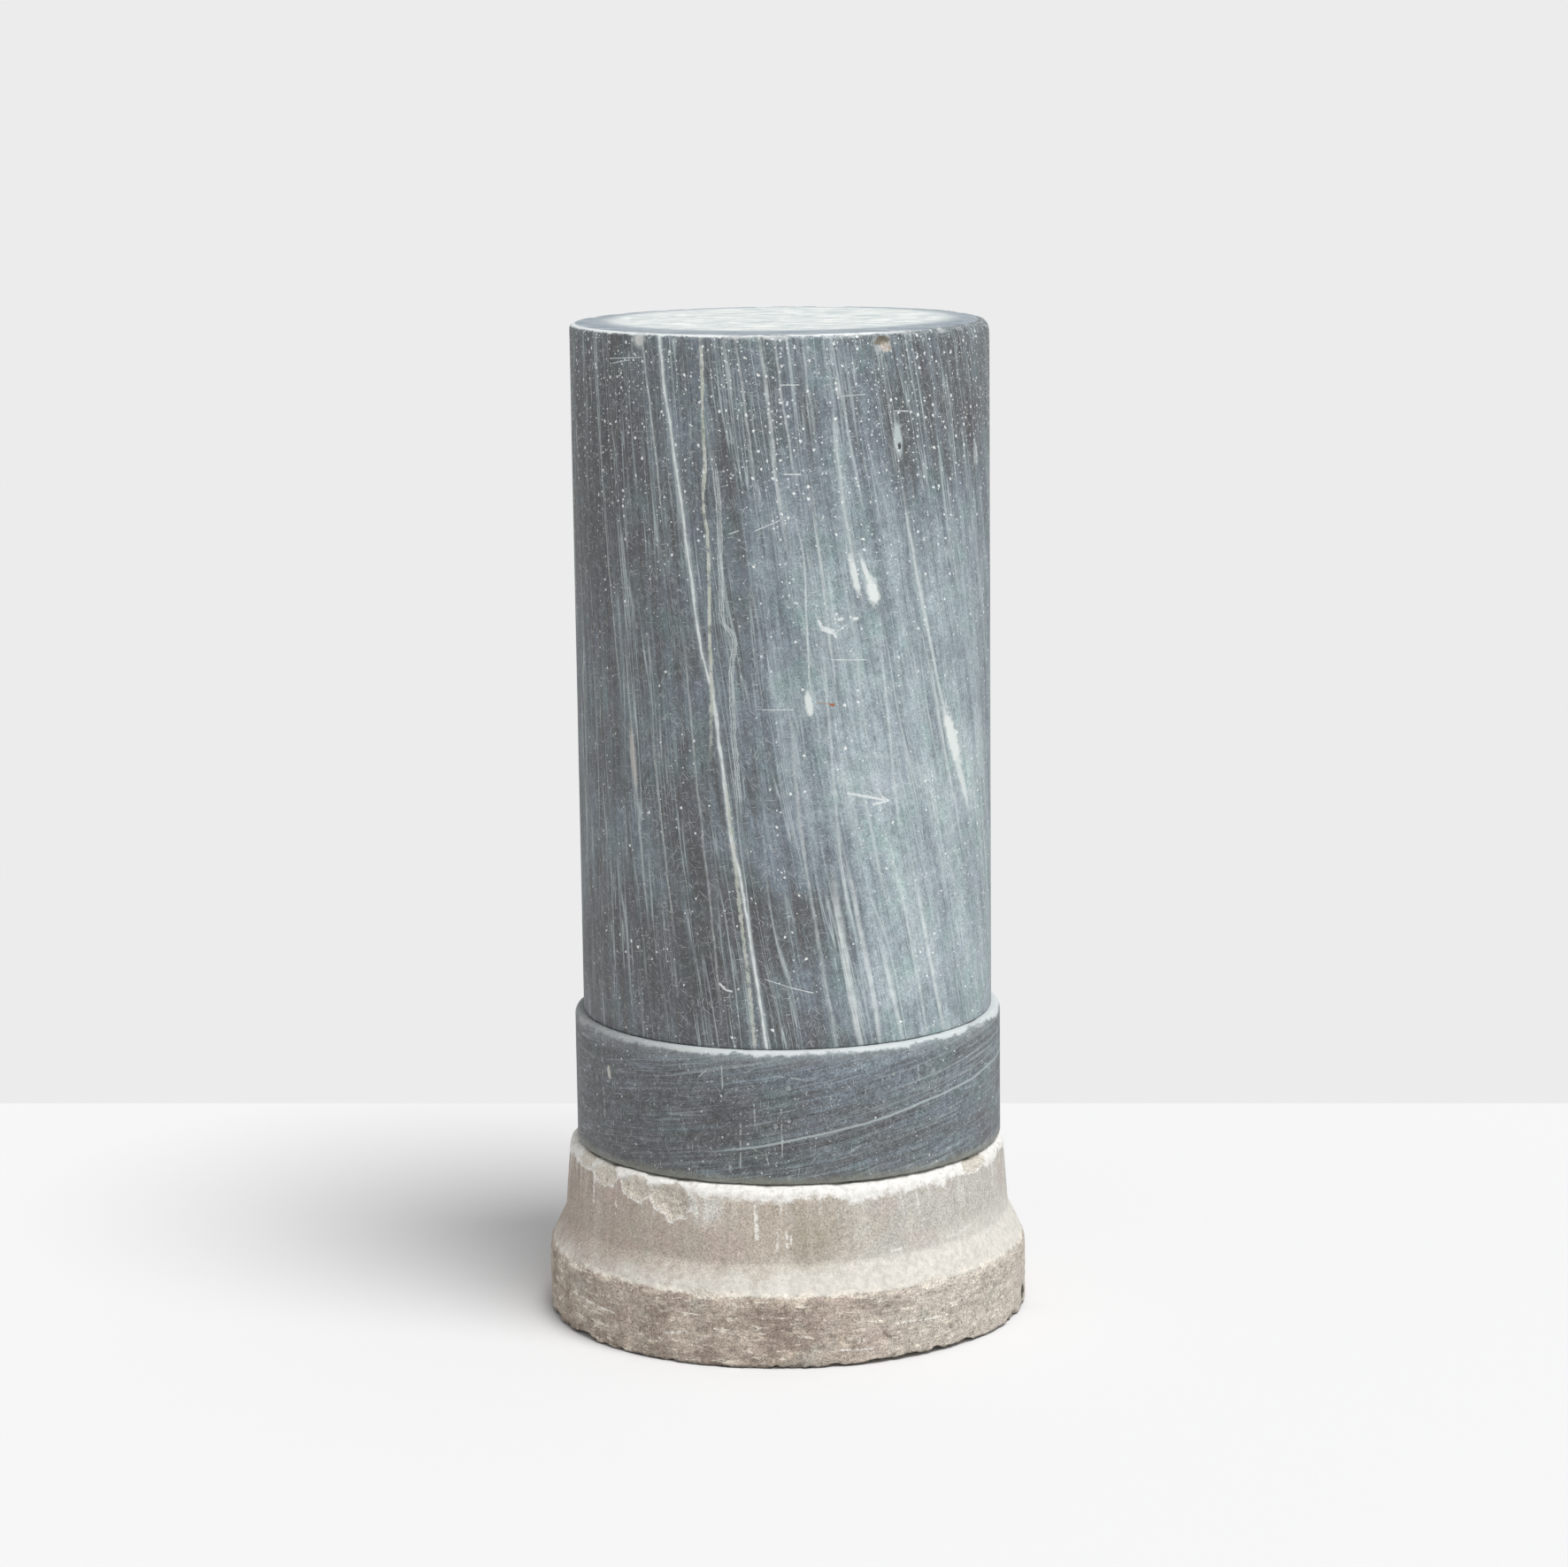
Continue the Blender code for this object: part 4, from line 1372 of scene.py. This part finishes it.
def limestone():
    """Sandy stone: lime-washed shoulder and ledge, its shoulder band partly a painted highlight, drips and
    stains on the body, a rough dark plinth.
    """
    look = LimestoneLook()
    look.lay_body()
    look.lay_plinth()
    look.lay_lime()
    look.lay_dust()
    look.lay_breaks()
    look.lay_grain()
    return look.finish(0.88, look.relief(), 0.8)


# Pieces

def dress(stone, material, node):
    """Gives a stone its finish, sets it on its body and lets it stand for its CAD node."""
    stone.data.materials.append(material)
    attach(stone, "root")
    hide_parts(node)


def make_stones():
    """The three stones at their places."""
    outline = drum_outline(SHAFT_FOOT, SHAFT_HEAD, SHAFT_FOOT_RADIUS, SHAFT_HEAD_RADIUS,
                           SHAFT_HEAD_WEAR, SHAFT_FOOT_WEAR)
    outline = dense_outline(outline, SHAFT_SPACING)
    shaft = turned_mesh("shaft_stone", outline, DRUM_STEPS, DRUM_OFFSET, shaft_relief)
    dress(shaft, shaft_marble(), "shaft")
    outline = drum_outline(COLLAR_FOOT, COLLAR_HEAD, COLLAR_RADIUS, COLLAR_RADIUS,
                           COLLAR_HEAD_WEAR, COLLAR_FOOT_WEAR)
    outline = dense_outline(outline, COLLAR_SPACING)
    collar = turned_mesh("collar_stone", outline, DRUM_STEPS, DRUM_OFFSET, collar_relief)
    dress(collar, collar_marble(), "collar")
    outline = dense_outline(base_outline(), BASE_SPACING)
    base = turned_mesh("base_stone", outline, BASE_STEPS, 0.0, base_relief, base_lift)
    dress(base, limestone(), "base")


# Floor and light

FLOOR_COLOR = (0.748, 0.747, 0.750)
FLOOR_ROUGHNESS = 0.9
FLOOR_HALF_WIDTH = 9.0
FLOOR_DEPTH = 14.0
AMBIENT = 0.495
BACKGROUND = 0.8388
KEY_STRENGTH = 2.68
KEY_SPREAD = math.radians(30.0)
KEY_AZIMUTH = math.radians(43.0)      # to the right of the camera
KEY_ELEVATION = math.radians(63.5)


def make_floor():
    """A pale floor that ends level across the picture at the photograph's row."""
    left = floor_point(0.0, WALL_ROW)
    right = floor_point(float(PHOTO_WIDTH), WALL_ROW)
    run = (right - left).normalized()
    middle = (left + right) / 2
    back = [middle - run * FLOOR_HALF_WIDTH, middle + run * FLOOR_HALF_WIDTH]
    front = [corner + Vector((0.0, -FLOOR_DEPTH, 0.0)) for corner in back]
    mesh = bpy.data.meshes.new("floor")
    mesh.from_pydata([front[0], front[1], back[1], back[0]], [], [(0, 1, 2, 3)])
    floor = bpy.data.objects.new("floor", mesh)
    bpy.context.scene.collection.objects.link(floor)
    material = bpy.data.materials.new("floor")
    material.use_nodes = True
    shader = material.node_tree.nodes["Principled BSDF"]
    shader.inputs["Base Color"].default_value = (*FLOOR_COLOR, 1.0)
    shader.inputs["Roughness"].default_value = FLOOR_ROUGHNESS
    shader.inputs["Specular IOR Level"].default_value = 0.0
    mesh.materials.append(material)
    floor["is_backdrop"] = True


def make_light():
    """Even light from all round, and one broad soft light from the upper right."""
    world = bpy.data.worlds.new("studio")
    world.use_nodes = True
    tree = world.node_tree
    background = tree.nodes["Background"]
    path = tree.nodes.new("ShaderNodeLightPath")
    strength = tree.nodes.new("ShaderNodeMapRange")
    tree.links.new(path.outputs["Is Camera Ray"], strength.inputs["Value"])
    strength.inputs["To Min"].default_value = AMBIENT
    strength.inputs["To Max"].default_value = BACKGROUND
    tree.links.new(strength.outputs[0], background.inputs["Strength"])
    background.inputs["Color"].default_value = (1.0, 1.0, 1.0, 1.0)
    bpy.context.scene.world = world
    key = bpy.data.lights.new("key", "SUN")
    key.energy = KEY_STRENGTH
    key.angle = KEY_SPREAD
    lamp = bpy.data.objects.new("key", key)
    level = math.cos(KEY_ELEVATION)
    towards = Vector((level * math.sin(KEY_AZIMUTH), -level * math.cos(KEY_AZIMUTH), math.sin(KEY_ELEVATION)))
    lamp.rotation_mode = "QUATERNION"
    lamp.rotation_quaternion = towards.to_track_quat("Z", "Y")
    bpy.context.scene.collection.objects.link(lamp)
    bpy.context.scene.view_settings.view_transform = "Standard"


def write_sizes():
    """Works out the CAD box and the visual model's box as lists of corners; they are not kept or compared."""
    boxes = [[list(corner) for corner in box] for box in (cad_box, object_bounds())]


make_camera()
make_stones()
make_floor()
make_light()
write_sizes()
